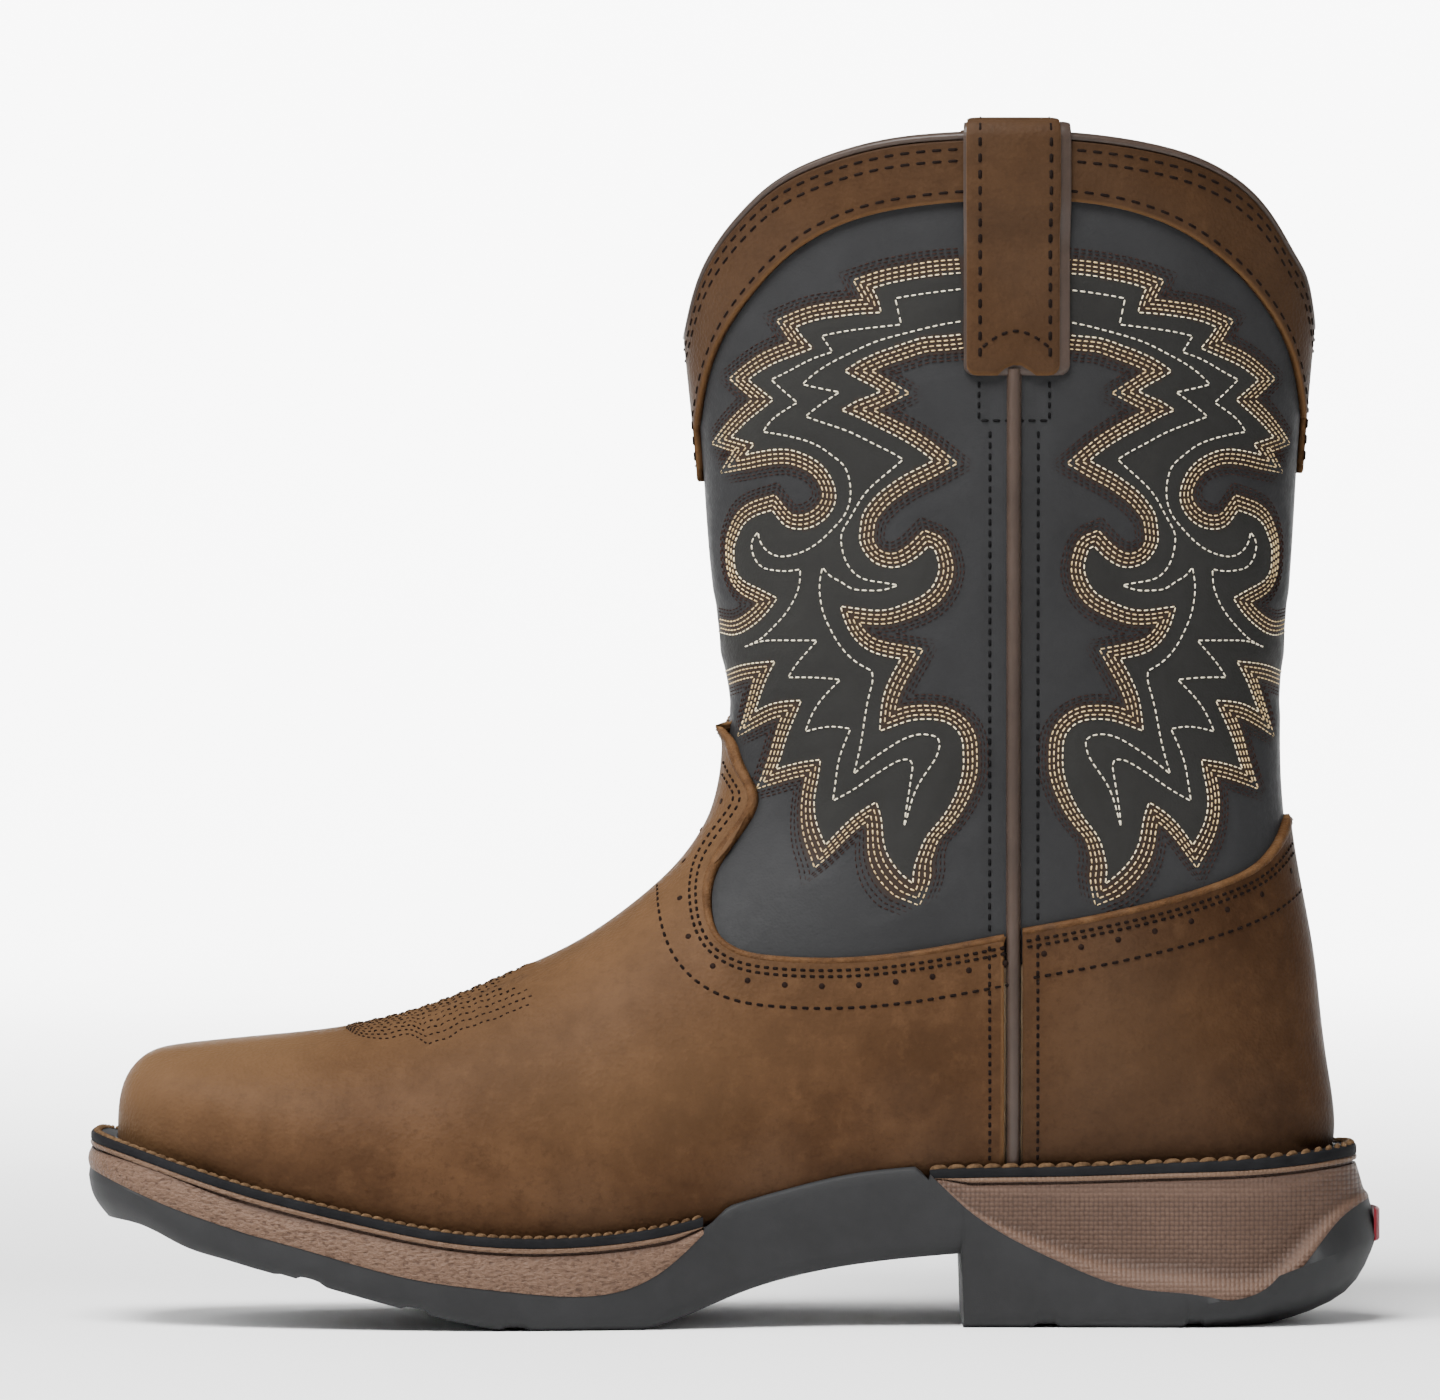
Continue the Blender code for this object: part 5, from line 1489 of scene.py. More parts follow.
edgePoints, edgeNormals, places = footprint()
weltReach = tableSpline(soleReachTable, 1)
treadReach = tableSpline(soleReachTable, 2)
weltOut = {side: weltReach(edgePoints[side][:, 0]) for side in (-1, 1)}
treadOut = {side: treadReach(edgePoints[side][:, 0]) for side in (-1, 1)}
toeEnd = np.clip((soleForm["toeBevelX"] - places) / (soleForm["toeBevelX"] - treadTable[0][0]), 0, 1)
heelward = smoothStep(*soleForm["heelward"], places)
heelEnd = {
    side: np.clip(edgeNormals[side][:, 0], 0, 1) ** soleForm["heelEase"] * heelward for side in (-1, 1)
}


def treadZ(x):
    z = np.where(x < soleForm["heelBreastX"], np.maximum(treadLine(x), 0), 0.0)
    for centre in soleForm["grooveX"]:
        share = (soleForm["grooveWidth"] / 2 - np.abs(x - centre)) / (0.2 * soleForm["grooveWidth"])
        z = z + soleForm["grooveDepth"] * np.clip(share, 0, 1)
    return z


def soleTop(x):
    return weltLine(x) - lastForm["weltDrop"] - soleForm["gap"]


def outsoleTop(x):
    top = np.where(places <= soleForm["midsoleEnd"], midsoleBase(places) - soleForm["seat"], soleTop(x))
    return np.where(places >= soleForm["insertStart"], insertBase(places) - soleForm["seat"], top)


def edgeRing(side, reach, height):
    flat = edgePoints[side] + edgeNormals[side] * np.asarray(reach)[:, None]
    return np.column_stack([flat, height(flat[:, 0])])


def blendRound(toe, flank, back, side):
    return flank + (toe - flank) * toeEnd + (back - flank) * heelEnd[side]


def topLean(side):
    return blendRound(soleForm["treadLean"], soleForm["treadLean"], soleForm["topInsetBack"], side)


def addLayer(name, levels, keep, finish, nodes=(), sharp=38.0, marks=None):
    # rings of (reach, height) from the top down, joined across at top and bottom; marks give a value a ring
    left = np.stack([edgeRing(-1, *level(-1))[keep] for level in levels], axis=1)
    right = np.stack([edgeRing(1, *level(1))[keep] for level in levels], axis=1)
    spread = {}
    for key, row in (marks or {}).items():
        spread[key] = np.tile(row + row[::-1], int(keep.sum()))
    rings = np.concatenate([left, right[:, ::-1]], axis=1)
    addLoft(name, rings, finish, nodes, sharp=sharp, marks=spread)


rubberLook = dict(dark=(0.0096, 0.0097, 0.0101), light=(0.0142, 0.0144, 0.0150), roughness=0.66)


def makeOutsole():
    thin = outsoleTop(places) - treadZ(places)
    roomy = np.clip(thin / soleForm["rubberFull"], 0.3, 1.0)
    wall = np.array(outsoleWall)
    flank = (places > soleForm["flank"][0]) & (places < soleForm["flank"][1])
    at = np.linspace(0, 2, 9)
    steps = np.column_stack([spline([0, 1, 2], column)(at) for column in wall.T])

    def level(row):
        def ring(side):
            reach = treadOut[side] - blendRound(*row[0:3], side)
            return reach, lambda x: treadZ(np.where(flank, x, places)) + blendRound(*row[3:6], side) * roomy

        return ring

    wing = soleForm["wingRise"] * smoothStep(*soleForm["wingFront"], places)
    wing = wing * smoothStep(*soleForm["wingBack"], places)

    def top(inset, share):
        def ring(side):
            return treadOut[side] - topLean(side) - inset, lambda x: outsoleTop(x) + wing * share

        return ring

    rim = [top(2.4, 0.0), top(2.0, 0.9), top(1.3, 1.0), top(0.5, 0.9), top(0.1, 0.7), top(0.0, 0.0)]
    made = plainFinish("black rubber", rubberLook["roughness"], 0.22, (60.0, 6.0, 0.65), rubberLook["dark"],
                       rubberLook["light"], (2600.0, 2.0, 0.22, 0.0002))
    addLayer("outsole", rim + [level(row) for row in steps[::-1]], np.ones(len(places), bool), made,
             ("outsole",))


layerLook = dict(
    lip=1.2, groove=0.65, grooveInset=0.9, edge=0.2, layerFull=6.0, bulge=0.55, overhang=0.15,
    lap=0.25,  # how far the brown layers reach up past the sole's top
)


def lipLevels(full):
    # the lip along the top of a brown layer and the groove under it
    def lip(depth, inset):
        def ring(side):
            reach = weltOut[side] - inset
            return reach, lambda x: soleTop(x) + layerLook["lap"] - depth * full

        return ring

    deep = layerLook["lip"]
    cut = layerLook["groove"]
    return [
        lip(0.0, layerLook["edge"] + 0.3), lip(0.25, 0.05), lip(0.55 * deep, -0.1), lip(deep, 0.1),
        lip(deep + 0.2 * cut, layerLook["grooveInset"]), lip(deep + 0.9 * cut, layerLook["grooveInset"]),
    ]


def wallTop(x, full):
    # where the wall of a brown layer starts, under its groove
    return soleTop(x) + layerLook["lap"] - (layerLook["lip"] + 1.3 * layerLook["groove"]) * full


foxingLook = dict(
    dark=(0.044, 0.0230, 0.0136),
    middle=(0.083, 0.0468, 0.0292),
    light=(0.124, 0.0748, 0.0500),
    lip=(0.088, 0.0510, 0.0305),  # the smooth top edge
    # painted shade in the groove under the lip
    groove=(0.034, 0.0185, 0.0120),
    roughness=0.62,
)


def edgeColours(tree, colour):
    # the smooth lip, and painted shade in the groove under it
    colour = mixed(tree, markAt(tree, "lip"), colour, foxingLook["lip"])
    return mixed(tree, markAt(tree, "groove"), colour, foxingLook["groove"])


def foxingFinish():
    made, tree, shader, place = newFinish("pebbled brown rubber", foxingLook["roughness"], 0.2)
    squeezed = stretched(tree, place, (0.6, 0.6, 1.15))
    pebble = cellsAt(tree, squeezed, 1400.0, "SMOOTH_F1", 0.5)
    worm = noiseAt(tree, squeezed, 1150.0, 2.0, 0.5)
    crest = shades(tree, worm, (0.40, foxingLook["dark"]), (0.49, foxingLook["light"]),
                   (0.55, foxingLook["middle"]), (0.66, foxingLook["light"]))
    colour = mixed(tree, ramp(tree, pebble, 0.2, 0.8, 0.15, 0.8), crest, foxingLook["middle"])
    tree.links.new(edgeColours(tree, colour), shader.inputs["Base Color"])
    bumped(tree, shader, (pebble, 0.5, 0.0004), (worm, 0.8, 0.0009))
    return made


def makeMidsole():
    full = np.clip((soleTop(places) - midsoleBase(places)) / layerLook["layerFull"], 0.1, 1.0)

    def wallAt(share):
        def ring(side):
            high = weltOut[side] - layerLook["edge"]
            low = treadOut[side] - soleForm["treadLean"] + layerLook["overhang"]
            bulge = layerLook["bulge"] * math.sin(math.pi * share) * full
            top = wallTop(places, full)
            return high + (low - high) * share + bulge, lambda x: top + (midsoleBase(places) - top) * share

        return ring

    walls = [wallAt(share) for share in (0.0, 0.15, 0.35, 0.6, 0.8, 0.93, 1.0)]
    addLayer("midsole", lipLevels(full) + walls, places <= soleForm["midsoleEnd"], foxingFinish(),
             ("midsole",), 50.0,
             # groove: painted shade in the groove under the lip
             {"lip": [1] * 4 + [0] * 9, "groove": [0] * 4 + [1] * 2 + [0.6] + [0] * 6})


insertLook = dict(
    scoop=2.6,
    insertFull=14.0,
    dark=(0.036, 0.0195, 0.0128),
    middle=(0.060, 0.0330, 0.0212),
    light=(0.076, 0.0430, 0.0285),
    # a lighter band under the groove, and painted highlight along the lower rim of the scoop
    rim=(0.088, 0.0510, 0.0345),
)
scoopTable = (  # share of the way down, share of the scoop's depth
    (0.0, 0.0), (0.2, 0.22), (0.45, 0.62), (0.66, 0.97), (0.76, 1.0), (0.83, 0.6), (0.88, 0.1), (1.0, 0.0),
)


def insertFinish():
    made, tree, shader, place = newFinish("dotted brown rubber", 0.62, 0.25)
    dots = cellsAt(tree, stretched(tree, place, (1.0, 0.0, 1.0)), 900.0, "F1", None, 0.15)
    cloud = noiseAt(tree, place, 90.0, 4.0)
    colour = shades(tree, cloud, (0.3, insertLook["middle"]), (0.7, insertLook["light"]))
    colour = mixed(tree, ramp(tree, dots, 0.28, 0.62, 0.0, 0.95), colour, insertLook["dark"])
    # a lighter band under the groove, and painted highlight along the scoop's lower rim
    colour = mixed(tree, markAt(tree, "rim"), colour, insertLook["rim"])
    tree.links.new(edgeColours(tree, colour), shader.inputs["Base Color"])
    bumped(tree, shader, (ramp(tree, dots, 0.1, 0.7, 1.0, 0.0), 0.6, 0.0004))
    return made


def makeHeelInsert():
    depth = soleTop(places) - insertBase(places)
    full = np.clip(depth / soleForm["rubberFull"], 0.1, 1.0)
    hollow = insertLook["scoop"] * np.clip((depth - soleForm["rubberFull"]) / insertLook["insertFull"], 0, 1)
    scoop = tableSpline(scoopTable, 1)

    def wallAt(share):
        def height(x):
            top = wallTop(x, full)
            return top + (insertBase(places) - top) * share

        def ring(side):
            high = weltOut[side] - layerLook["edge"]
            low = treadOut[side] - topLean(side)
            return high + (low - high) * share - float(scoop(share)) * hollow, height

        return ring

    shares = (0.0, 0.1, 0.2, 0.32, 0.45, 0.56, 0.66, 0.72, 0.76, 0.8, 0.84, 0.88, 0.93, 1.0)
    walls = [wallAt(share) for share in shares]
    addLayer("heel_insert", lipLevels(full) + walls, places >= soleForm["insertStart"], insertFinish(),
             ("heel_insert",), 50.0,
             {"lip": [1] * 4 + [0] * 16,
              # painted shade in the groove under the lip and across the scoop
              "groove": [0] * 4 + [1] * 2 + [0.5] + [0] * 5 + [0.2, 0.4, 0.5, 0.35, 0.05] + [0] * 3,
              # a lighter band under the groove, and painted highlight along the scoop's lower rim
              "rim": [0] * 6 + [0.7, 0.5] + [0] * 8 + [0.5, 0.8, 0.8, 0.6]})


insoleLook = dict(inset=2.1, thickness=3.5, dark=(0.20, 0.13, 0.08), light=(0.30, 0.21, 0.13))


def makeInsole():
    made = plainFinish("insole leather", 0.8, 0.2, (50.0, 5.0), insoleLook["dark"], insoleLook["light"],
                       (900.0, 3.0, 0.3, 0.0003))

    def level(rise, inset):
        return lambda side: (np.full(len(places), -inset), lambda x: featherZ(x) + rise)

    inside = edgePoints[-1][:, 0] < sections[lastForm["heelRow"]][2] - insoleLook["inset"] / 2
    thick, inset = insoleLook["thickness"], insoleLook["inset"]
    levels = [level(thick, inset + 0.8), level(thick - 0.6, inset), level(0.0, inset)]
    addLayer("insole", levels, inside, made, ("insole",))


weltLook = dict(
    thickness=2.2, inner=1.0, backRise=0.4, backRun=(80.0, 140.0),
    dark=(0.0065, 0.0065, 0.0070), light=(0.011, 0.011, 0.012), roughness=0.7,
)
weltBlack = plainFinish("black welt", weltLook["roughness"], 0.03, (120.0, 4.0), weltLook["dark"],
                        weltLook["light"], (1500.0, 2.0, 0.15, 0.0002))


def weltRise(x):
    # the heel's welt grows thicker towards the back
    return weltLook["thickness"] + weltLook["backRise"] * smoothStep(*weltLook["backRun"], x)


def makeWelt(name, keep):
    profile = (  # distance out, share of the rise, share of the welt's reach
        (weltLook["inner"], 0.0, 0.0), (-0.1, 0.0, 1.0), (0.0, 0.2, 1.0), (0.0, 0.72, 1.0),
        (-0.25, 0.92, 1.0), (-0.6, 1.0, 1.0), (weltLook["inner"], 1.0, 0.0),
    )
    halves = {}
    for side in (-1, 1):
        reach = weltOut[side]
        rows = []
        for out, rise, edge in profile:
            flat = edgePoints[side] + edgeNormals[side] * (out + reach * edge)[:, None]
            z = featherZ(flat[:, 0]) - 0.05 + rise * weltRise(flat[:, 0])
            rows.append(np.column_stack([flat, z])[keep])
        halves[side] = np.stack(rows, axis=1)
    if places[keep][0] > 0:
        rings = np.concatenate([halves[-1], halves[1][::-1]])
    else:
        rings = np.concatenate([halves[-1][::-1], halves[1]])
    addLoft(name, rings, weltBlack, (name,), sharp=50.0)


tabLook = dict(
    lowZ=19.0, highZ=27.0, halfWidth=9.0, thickness=0.8, bevel=0.6,
    dark=(0.110, 0.0060, 0.0110), light=(0.160, 0.0100, 0.0170),
)


def makeHeelTab():
    made = plainFinish("red rubber", 0.55, 0.15, (200.0, 4.0), tabLook["dark"], tabLook["light"],
                       (2200.0, 2.0, 0.2, 0.0002))
    edge = np.vstack([edgeRing(side, treadOut[side], featherZ)[:, :2] for side in (-1, 1)])
    edge = edge[edge[:, 0] > lastForm["heelOvalX"]]
    edge = edge[np.argsort(edge[:, 1])]
    across = tabLook["halfWidth"] * np.sin(np.linspace(-math.pi / 2, math.pi / 2, 33))
    low, high, bevel = tabLook["lowZ"], tabLook["highZ"], tabLook["bevel"]
    rings = []
    for y in across:
        near = float(np.interp(y, edge[:, 1], edge[:, 0])) - 0.2
        far = near + tabLook["thickness"] * (1 - 0.4 * abs(y / tabLook["halfWidth"]) ** 8)
        rings.append([
            (near, y, low), (far - 0.5 * bevel, y, low + 0.2), (far, y, low + bevel),
            (far, y, high - bevel), (far - 0.5 * bevel, y, high - 0.2), (near, y, high),
        ])
    addLoft("heel_tab", rings, made, ("heel_tab",), sharp=50.0)


# Threads
threadLook = dict(
    cream=((0.64, 0.49, 0.26), (0.42, 0.29, 0.14)),
    pale=((0.80, 0.70, 0.47), (0.62, 0.50, 0.31)),
    white=((0.74, 0.68, 0.53), (0.60, 0.54, 0.40)),
    dark=((0.030, 0.0140, 0.0105), (0.014, 0.0070, 0.0056)),
    black=((0.0045, 0.0044, 0.0045), (0.0025, 0.0025, 0.0026)),
    brown=((0.0075, 0.0042, 0.0030), (0.0040, 0.0022, 0.0016)),
    rope=((0.098, 0.0580, 0.0290), (0.040, 0.0220, 0.0110)),
    flameWidth=0.44, flameHeight=0.3,
    innerWidth=0.47, innerHeight=0.28,
    # painted shade in the punched holes
    hole=((0.012, 0.006, 0.004), (0.006, 0.003, 0.002)),
)


def shaftStitches(flatRows, pitch, width, height):
    made = []
    for side in (-1, 1):
        for rear in (False, True):
            for row in flatRows:
                w = flameAround(row, side, rear)
                z = row[:, 1]
                spot, normal = shaftSpot(w, z, 0.02 + shaftRelief(w, z))
                made.append(stitchRow(spot, normal, pitch, width, height, 0.16))
    return made


def makeFlame():
    cream = []
    dark = []
    pale = []
    pitch, width, height = flame["pitch"], threadLook["flameWidth"], threadLook["flameHeight"]
    for runs in (topRuns, lowRuns):
        for distance in flame["creamRows"]:
            made = shaftStitches(offsetRows(runs, distance), pitch, width, height)
            if distance:
                cream += made
            else:
                pale += made
        for distance in flame["darkRows"]:
            dark += shaftStitches(offsetRows(runs, distance), pitch, width * 0.9, height)
    white = shaftStitches(innerRuns, pitch * 1.1, threadLook["innerWidth"], threadLook["innerHeight"])
    for name, rows, thread, colour in (
        ("flame_outer_rows", cream, "tan thread", "cream"),
        ("flame_edge_row", pale, "cream thread", "pale"),
        ("flame_border_rows", dark, "dark thread", "dark"),
        ("flame_inner_row", white, "pale thread", "white"),
    ):
        addThread(name, rows, threadFinish(thread, *threadLook[colour]))


def shaftRow(path, side, pitch, width, height):
    # stitches along a side-view path on the shaft
    w = side * shaftAround(path[:, 0], path[:, 1], side)
    z = path[:, 1]
    spot, normal = shaftSpot(w, z, 0.05 + shaftRelief(w, z, flameGaps(w, z)))
    return stitchRow(spot, normal, pitch, width, height)


edgeRowLook = dict(
    near=2.9, second=4.3, holes=6.5, lower=11.6,  # distances from the cut edge
    pitch=2.15, width=0.95, height=0.42, holePitch=8.7, holeRadius=0.72,
)


def onOutline(path):
    # drops the places of a side-view path that lie outside the leather's own outline
    front = frontOutline(path[:, 1])
    back = backOutline(np.maximum(path[:, 1], 40.0))
    return path[(path[:, 0] > front + 0.15) & (path[:, 0] < back - 0.15)]


def discs(points, normals, radius, lift):
    # small dished dark dots for punched holes, with their shade painted in
    turns = np.arange(8) * math.pi / 4
    helper = unit(np.cross(normals, np.array([0.3, 0.1, 0.95])))
    other = np.cross(normals, helper)
    rows = [points + normals * (lift - 0.05)]
    for size, rise in ((radius, lift), (radius * 1.05, lift - 0.5)):
        for turn in turns:
            rows.append(points + normals * rise + (helper * math.cos(turn) + other * math.sin(turn)) * size)
    return np.stack(rows, axis=1)


def makeEdgeRows():
    brown = []
    holes = []
    for side in (-1, 1):
        for path, piece in ((vampPath, "vamp"), (counterPath, "counter")):
            for distance in (edgeRowLook["near"], edgeRowLook["second"], edgeRowLook["lower"]):
                for row in offsetRows([path], distance):
                    row = onOutline(row)
                    if len(row) > 4:
                        spot, normal = sideSpot(row[:, 0], row[:, 1], side, overlay["high"])
                        pitch = edgeRowLook["pitch"] * (1.25 if distance == edgeRowLook["lower"] else 1.0)
                        brown.append(rowOn(piece, spot, normal, pitch, edgeRowLook["width"],
                                           edgeRowLook["height"], 0.26))
            for row in offsetRows([path], edgeRowLook["holes"]):
                row = onOutline(row)
                along = pathLength(row)
                at = np.arange(4.0, along[-1], edgeRowLook["holePitch"])
                row = pathAt(row, along, at)
                spot, normal = sideSpot(row[:, 0], row[:, 1], side, overlay["high"])
                holes.append(discs(laidOn(piece, spot, normal), normal, edgeRowLook["holeRadius"], 0.1))
    return brown, holes


collarRowLook = dict(top=(2.0, 4.7), low=2.4, pitch=3.8, width=0.95, height=0.34)


def makeCollarRows():
    foot = np.interp(np.abs(shaftW), collarW, collarZ)
    rows = []
    for z in [shaftRim - depth for depth in collarRowLook["top"]] + [foot + collarRowLook["low"]]:
        spot, normal = shaftSpot(np.append(shaftW, 1.0), np.append(z, z[0]), overlay["high"])
        rows.append(rowOn("collar", spot, normal, collarRowLook["pitch"], collarRowLook["width"],
                          collarRowLook["height"], 0.24))
    return rows


def makeSeamRows():
    black = []
    brown = []
    pitch, width, height = seamRowLook["pitch"], seamRowLook["width"], seamRowLook["height"]
    left, right, foot, top = seamRowLook["box"]
    corners = ((left, top), (left, foot), (right, foot), (right, top))
    for side in (-1, 1):
        for shift in (seamRowLook["front"], seamRowLook["rear"]):
            x = lastForm["seamX"] + shift
            edge = float(np.interp(x, vampPath[:, 0], vampPath[:, 1])) if shift < 0 else float(counterTop(x))
            high = np.linspace(seamRowLook["top"], edge + 1.0, 160)
            low = np.linspace(edge - 1.5, float(weltLine(x)) + 1.0, 90)
            black.append(shaftRow(np.column_stack([np.full(160, x), high]), side, pitch, width, height))
            spot, normal = sideSpot(x, low, side, overlay["high"])
            piece = "vamp" if shift < 0 else "counter"
            brown.append(rowOn(piece, spot, normal, pitch * 0.8, width, height))
        for one, two in zip(corners, corners[1:]):
            black.append(shaftRow(smoothPath([one, two], 0.8), side, pitch, seamRowLook["boxWidth"], height))
    return black, brown


strapRowLook = dict(
    left=-7.9,
    right=8.2,
    pitch=3.8,
    width=1.15,
    height=0.42,
    gap=0.3,
    arcPitch=2.8,
    arc="979,352 990,343 1001,337 1013,334 1025,337 1036,343 1047,352",  # above the notch, in chart units
)


def makeStrapRows():
    line = strapLine()[3:-14]
    arc = joined(chartPaths(strapRowLook["arc"]))
    rows = []
    lift = strapLook["backThick"] + strapLook["leafThick"]
    width, height, gap = strapRowLook["width"], strapRowLook["height"], strapRowLook["gap"]
    for side, word in sideWords.items():
        for shift in (strapRowLook["left"], strapRowLook["right"]):
            x = lastForm["seamX"] + shift
            spot = strapSpot(side, x, line, lift)
            normal = unit(spot - strapSpot(side, x, line, lift - 1.0))
            rows.append(rowOn("strap_leaf_" + word, spot, normal, strapRowLook["pitch"], width, height, gap))
        spot, normal = sideSpot(arc[:, 0], arc[:, 1], side, 3.0)
        rows.append(rowOn("strap_leaf_" + word, spot, normal, strapRowLook["arcPitch"], width * 0.8, height,
                          gap))
    return rows


ropeLook = dict(
    lift=0.1, inset=1.5,
    fore=(2.7, 1.25, 1.25, 0.62),  # pitch, width, height, slant
    heel=(4.2, 1.5, 1.7, 0.744),
    # place along a stitch and share of its full size
    profile=((-1.0, 0.25), (-0.78, 0.72), (-0.35, 1.0), (0.35, 1.0), (0.78, 0.72), (1.0, 0.25)),
)


def ropeBodies(points, pitch, width, height, slant):
    # plump slanted stitches that follow one another like a twisted cord
    along = pathLength(points)
    count = int(along[-1] / pitch)
    edges = np.linspace(0, along[-1], count + 1)
    lead = unit(pathAt(points, along, edges[1:]) - pathAt(points, along, edges[:-1]))
    middle = pathAt(points, along, (edges[1:] + edges[:-1]) / 2)
    up = np.array([0.0, 0.0, 1.0])
    across = unit(np.cross(up, lead))
    run = lead * pitch * 0.5 + across * slant
    rings = []
    for share, size in ropeLook["profile"]:
        ring = []
        for turn in np.arange(8) * math.pi / 4:
            ring.append(middle + run * share + across * (width / 2 * size * math.cos(turn))
                        + up * (height / 2 * (size * math.sin(turn) - 0.25 * share * share)))
        rings.append(np.stack(ring, axis=1))
    return np.stack(rings, axis=1)  # stitch, ring, turn, xyz


def addRope(name, bodies, finish):
    bodies = np.concatenate(bodies)
    faces = []
    for index in np.arange(bodies[..., 0].size).reshape(bodies.shape[:3]):
        looped = np.hstack([index, index[:, :1]])
        faces += quads(looped).tolist() + [index[0][::-1].tolist(), index[-1].tolist()]
    addPiece(name, bodies, faces, finish)


def weltPath(side, keep):
    reach = weltOut[side] - ropeLook["inset"]
    flat = edgePoints[side] + edgeNormals[side] * reach[:, None]
    return np.column_stack([flat, featherZ(flat[:, 0]) + weltRise(flat[:, 0]) + ropeLook["lift"]])[keep]


def makeRope():
    front = places <= soleForm["midsoleEnd"]
    rear = places >= soleForm["insertStart"]
    forePath = np.vstack([weltPath(-1, front)[::-1], weltPath(1, front)])
    heelPath = np.vstack([weltPath(-1, rear), weltPath(1, rear)[::-1]])
    fore = ropeBodies(forePath, *ropeLook["fore"])
    heel = ropeBodies(heelPath, *ropeLook["heel"])
    addRope("welt_stitches", [fore, heel], threadFinish("welt thread", *threadLook["rope"]))


def addHoles(name, bodies, finish):
    bodies = np.concatenate(bodies)
    faces = []
    for index in np.arange(bodies[..., 0].size).reshape(bodies.shape[:2]):
        middle, rim, foot = index[0], index[1:9], index[9:]
        for j in range(8):
            k = (j + 1) % 8
            faces.append((middle, rim[j], rim[k]))
            faces.append((rim[k], rim[j], foot[j], foot[k]))
        faces.append(foot[::-1])
    addPiece(name, bodies, faces, finish)


makeShaft()
makeLining()
makeVamp()
makeCounter()
vampEdge = onOutline(vampPath[vampPath[:, 1] < 143.0])
makeRawEdge("vamp_edge", vampEdge)
makeRawEdge("counter_edge", onOutline(counterPath))
makeCollar()
makeBead()
split = strapLook["backThick"]
for side, name in sideWords.items():
    makePiping(name, side)
    makeStrapLayer("strap_backing_" + name, side, strapLook["backShift"], strapLook["backHalf"], 0.0, split,
                   0.0, taupeLeather, "piping_leather", ())
    makeStrapLayer("strap_leaf_" + name, side, strapLook["leafShift"], strapLook["leafHalf"], split - 0.05,
                   split + strapLook["leafThick"], strapLook["notchRise"], collarLeather, "strap_leather",
                   ("pull_strap_" + name,))
print("upper done")
makeOutsole()
makeMidsole()
makeHeelInsert()
makeInsole()
makeWelt("welt_forefoot", places <= soleForm["midsoleEnd"])
makeWelt("welt_heel", places >= soleForm["insertStart"])
makeHeelTab()
print("sole done")
makeFlame()
brownRows, holes = makeEdgeRows()
blackRows, seamBrown = makeSeamRows()
brownRows += seamBrown + makeCollarRows() + makeStrapRows() + makeToeRows()
addThread("seam_black", blackRows, threadFinish("black thread", *threadLook["black"]))
addThread("brown_rows", brownRows, threadFinish("brown thread", *threadLook["brown"]))
addHoles("perforations", holes, threadFinish("hole shadow", *threadLook["hole"]))
makeRope()
print("stitches done")

# Stage: a pale sweep, soft light from above and in front, and a long lens from the medial side
stageLook = dict(
    floorDark=(0.92, 0.92, 0.92),
    floorLight=(0.94, 0.94, 0.94),
    floorFront=-3.6,
    floorBack=2.8,
    floorHalf=4.0,
    bend=0.8,  # radius of the curve up to the wall
    worldStrength=0.22,
    distance=3.2,
    width=0.3420,  # what the picture spans at the boot
    aim=(-0.00382, 0.0, 0.1471),
    elevation=0.59,
)
lights = (
    # name, place, aim, size, power
    ("key_light", (-0.4, -0.95, 1.6), (0.0, 0.0, 0.05), (1.2, 0.8), 97.0),
    ("left_light", (-1.5, -0.2, 1.1), (-0.1, 0.0, 0.06), (0.9, 0.9), 24.0),
    ("right_light", (1.6, -1.2, 1.0), (0.0, 0.0, 0.14), (0.9, 1.3), 8.0),
    ("wall_light", (0.0, 2.5, 1.6), (0.0, 3.6, 0.4), (3.0, 0.5), 250.0),
    ("far_floor_light", (0.0, 0.9, 1.5), (0.0, 3.0, 0.5), (2.4, 0.5), 150.0),
)


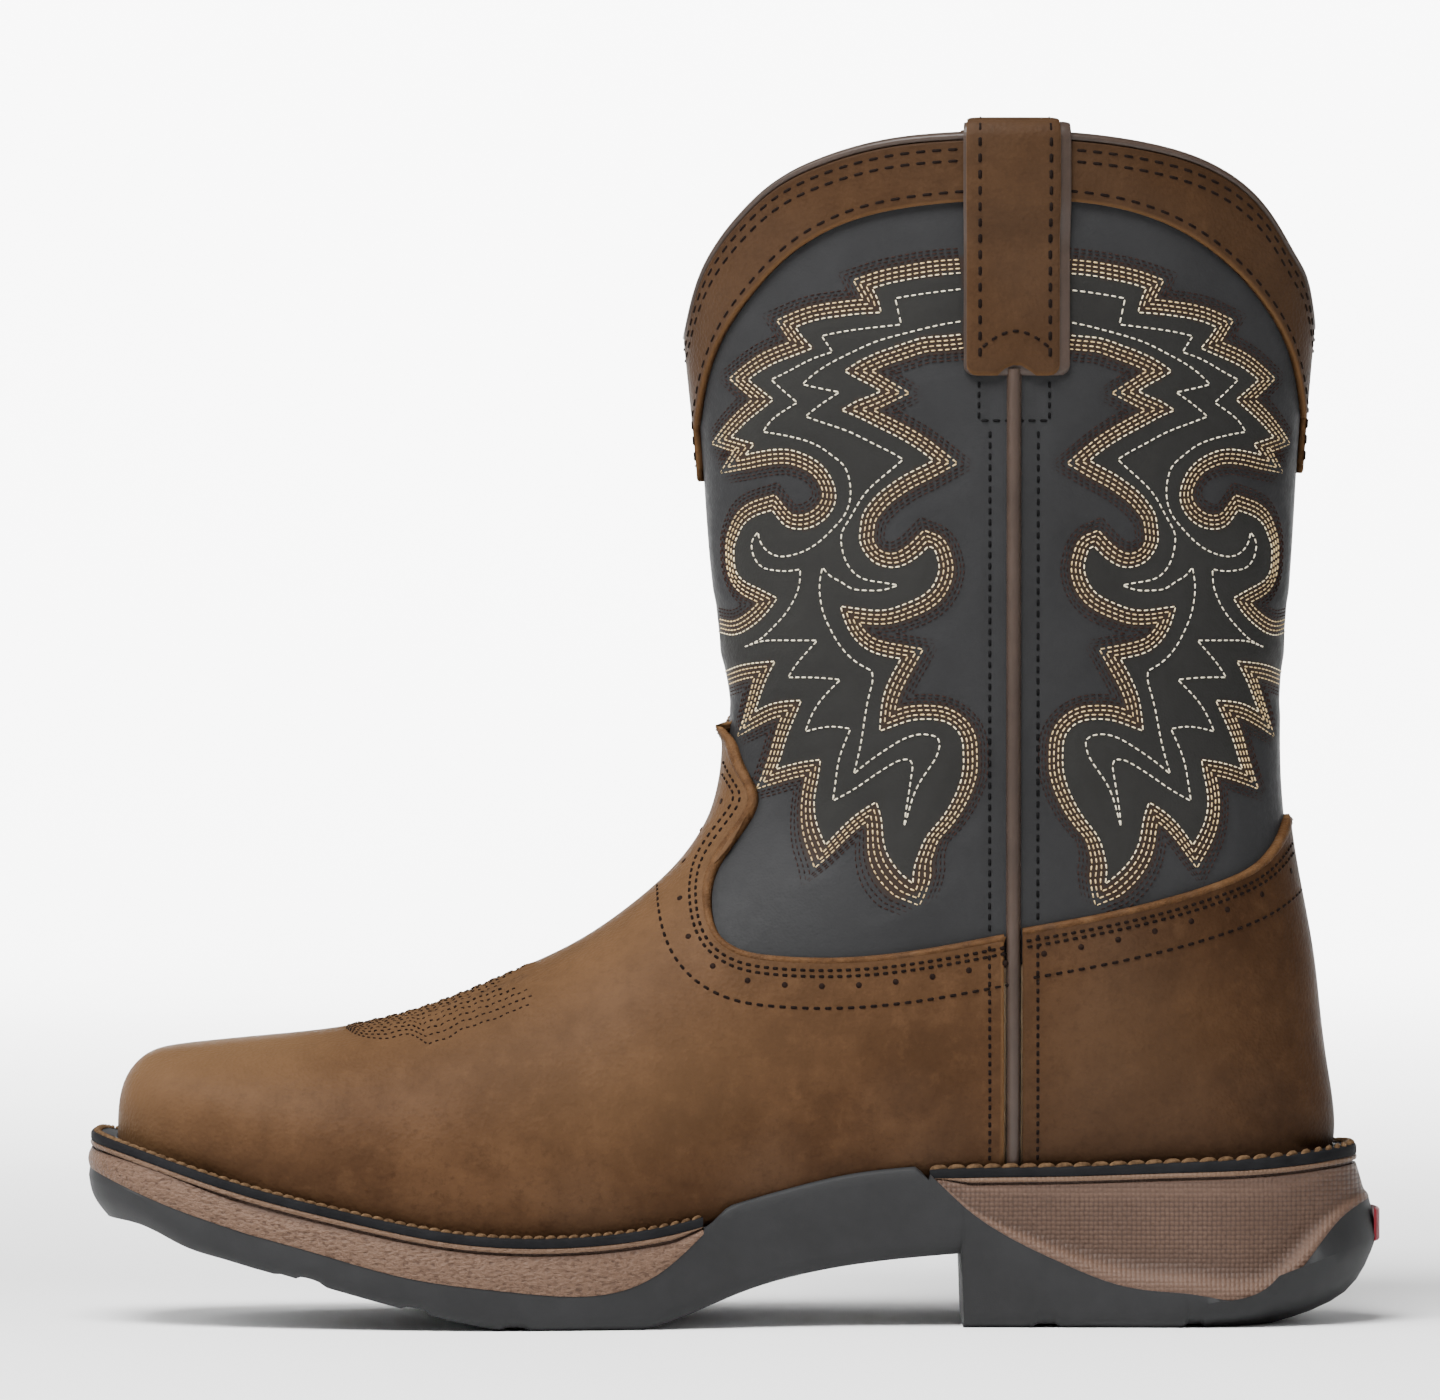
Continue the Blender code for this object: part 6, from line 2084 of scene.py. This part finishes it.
def makeFloor():
    made = plainFinish("pale floor", 0.8, 0.1, (3.0, 2.0), stageLook["floorDark"], stageLook["floorLight"])
    half, back, bend = stageLook["floorHalf"], stageLook["floorBack"], stageLook["bend"]
    turns = np.linspace(0, math.pi / 2, 17)
    depth = [stageLook["floorFront"]] + [back + bend * math.sin(turn) for turn in turns]
    height = [0.0] + [bend - bend * math.cos(turn) for turn in turns]
    points = [(x, y, z) for y, z in zip(depth, height) for x in (-half, half)]
    faces = [(2 * i, 2 * i + 1, 2 * i + 3, 2 * i + 2) for i in range(len(depth) - 1)]
    mesh = bpy.data.meshes.new("sweep")
    mesh.from_pydata(points, [], faces)
    mesh.shade_smooth()
    mesh.materials.append(made)
    floor = bpy.data.objects.new("sweep", mesh)
    bpy.context.scene.collection.objects.link(floor)


def addLight(name, place, aim, size, power):
    lamp = bpy.data.lights.new(name, "AREA")
    lamp.shape = "RECTANGLE"
    lamp.size, lamp.size_y = size
    lamp.energy = power
    made = bpy.data.objects.new(name, lamp)
    made.location = place
    made.rotation_euler = (Vector(aim) - Vector(place)).to_track_quat("-Z", "Y").to_euler()
    bpy.context.scene.collection.objects.link(made)


def makeLight():
    world = bpy.data.worlds.new("soft white")
    bpy.context.scene.world = world
    world.use_nodes = True
    back = world.node_tree.nodes["Background"]
    back.inputs["Color"].default_value = (1.0, 1.0, 1.0, 1.0)
    back.inputs["Strength"].default_value = stageLook["worldStrength"]
    for light in lights:
        addLight(*light)


def makeCamera():
    lens = bpy.data.cameras.new("camera")
    lens.sensor_width = 36.0
    lens.lens = 36.0 * stageLook["distance"] / stageLook["width"]
    camera = bpy.data.objects.new("camera", lens)
    tilt = math.radians(stageLook["elevation"])
    aim = Vector(stageLook["aim"])
    camera.location = aim + Vector((0, -math.cos(tilt), math.sin(tilt))) * stageLook["distance"]
    camera.rotation_euler = (aim - camera.location).to_track_quat("-Z", "Y").to_euler()
    bpy.context.scene.collection.objects.link(camera)
    bpy.context.scene.camera = camera


makeFloor()
makeLight()
makeCamera()
print("stage done")
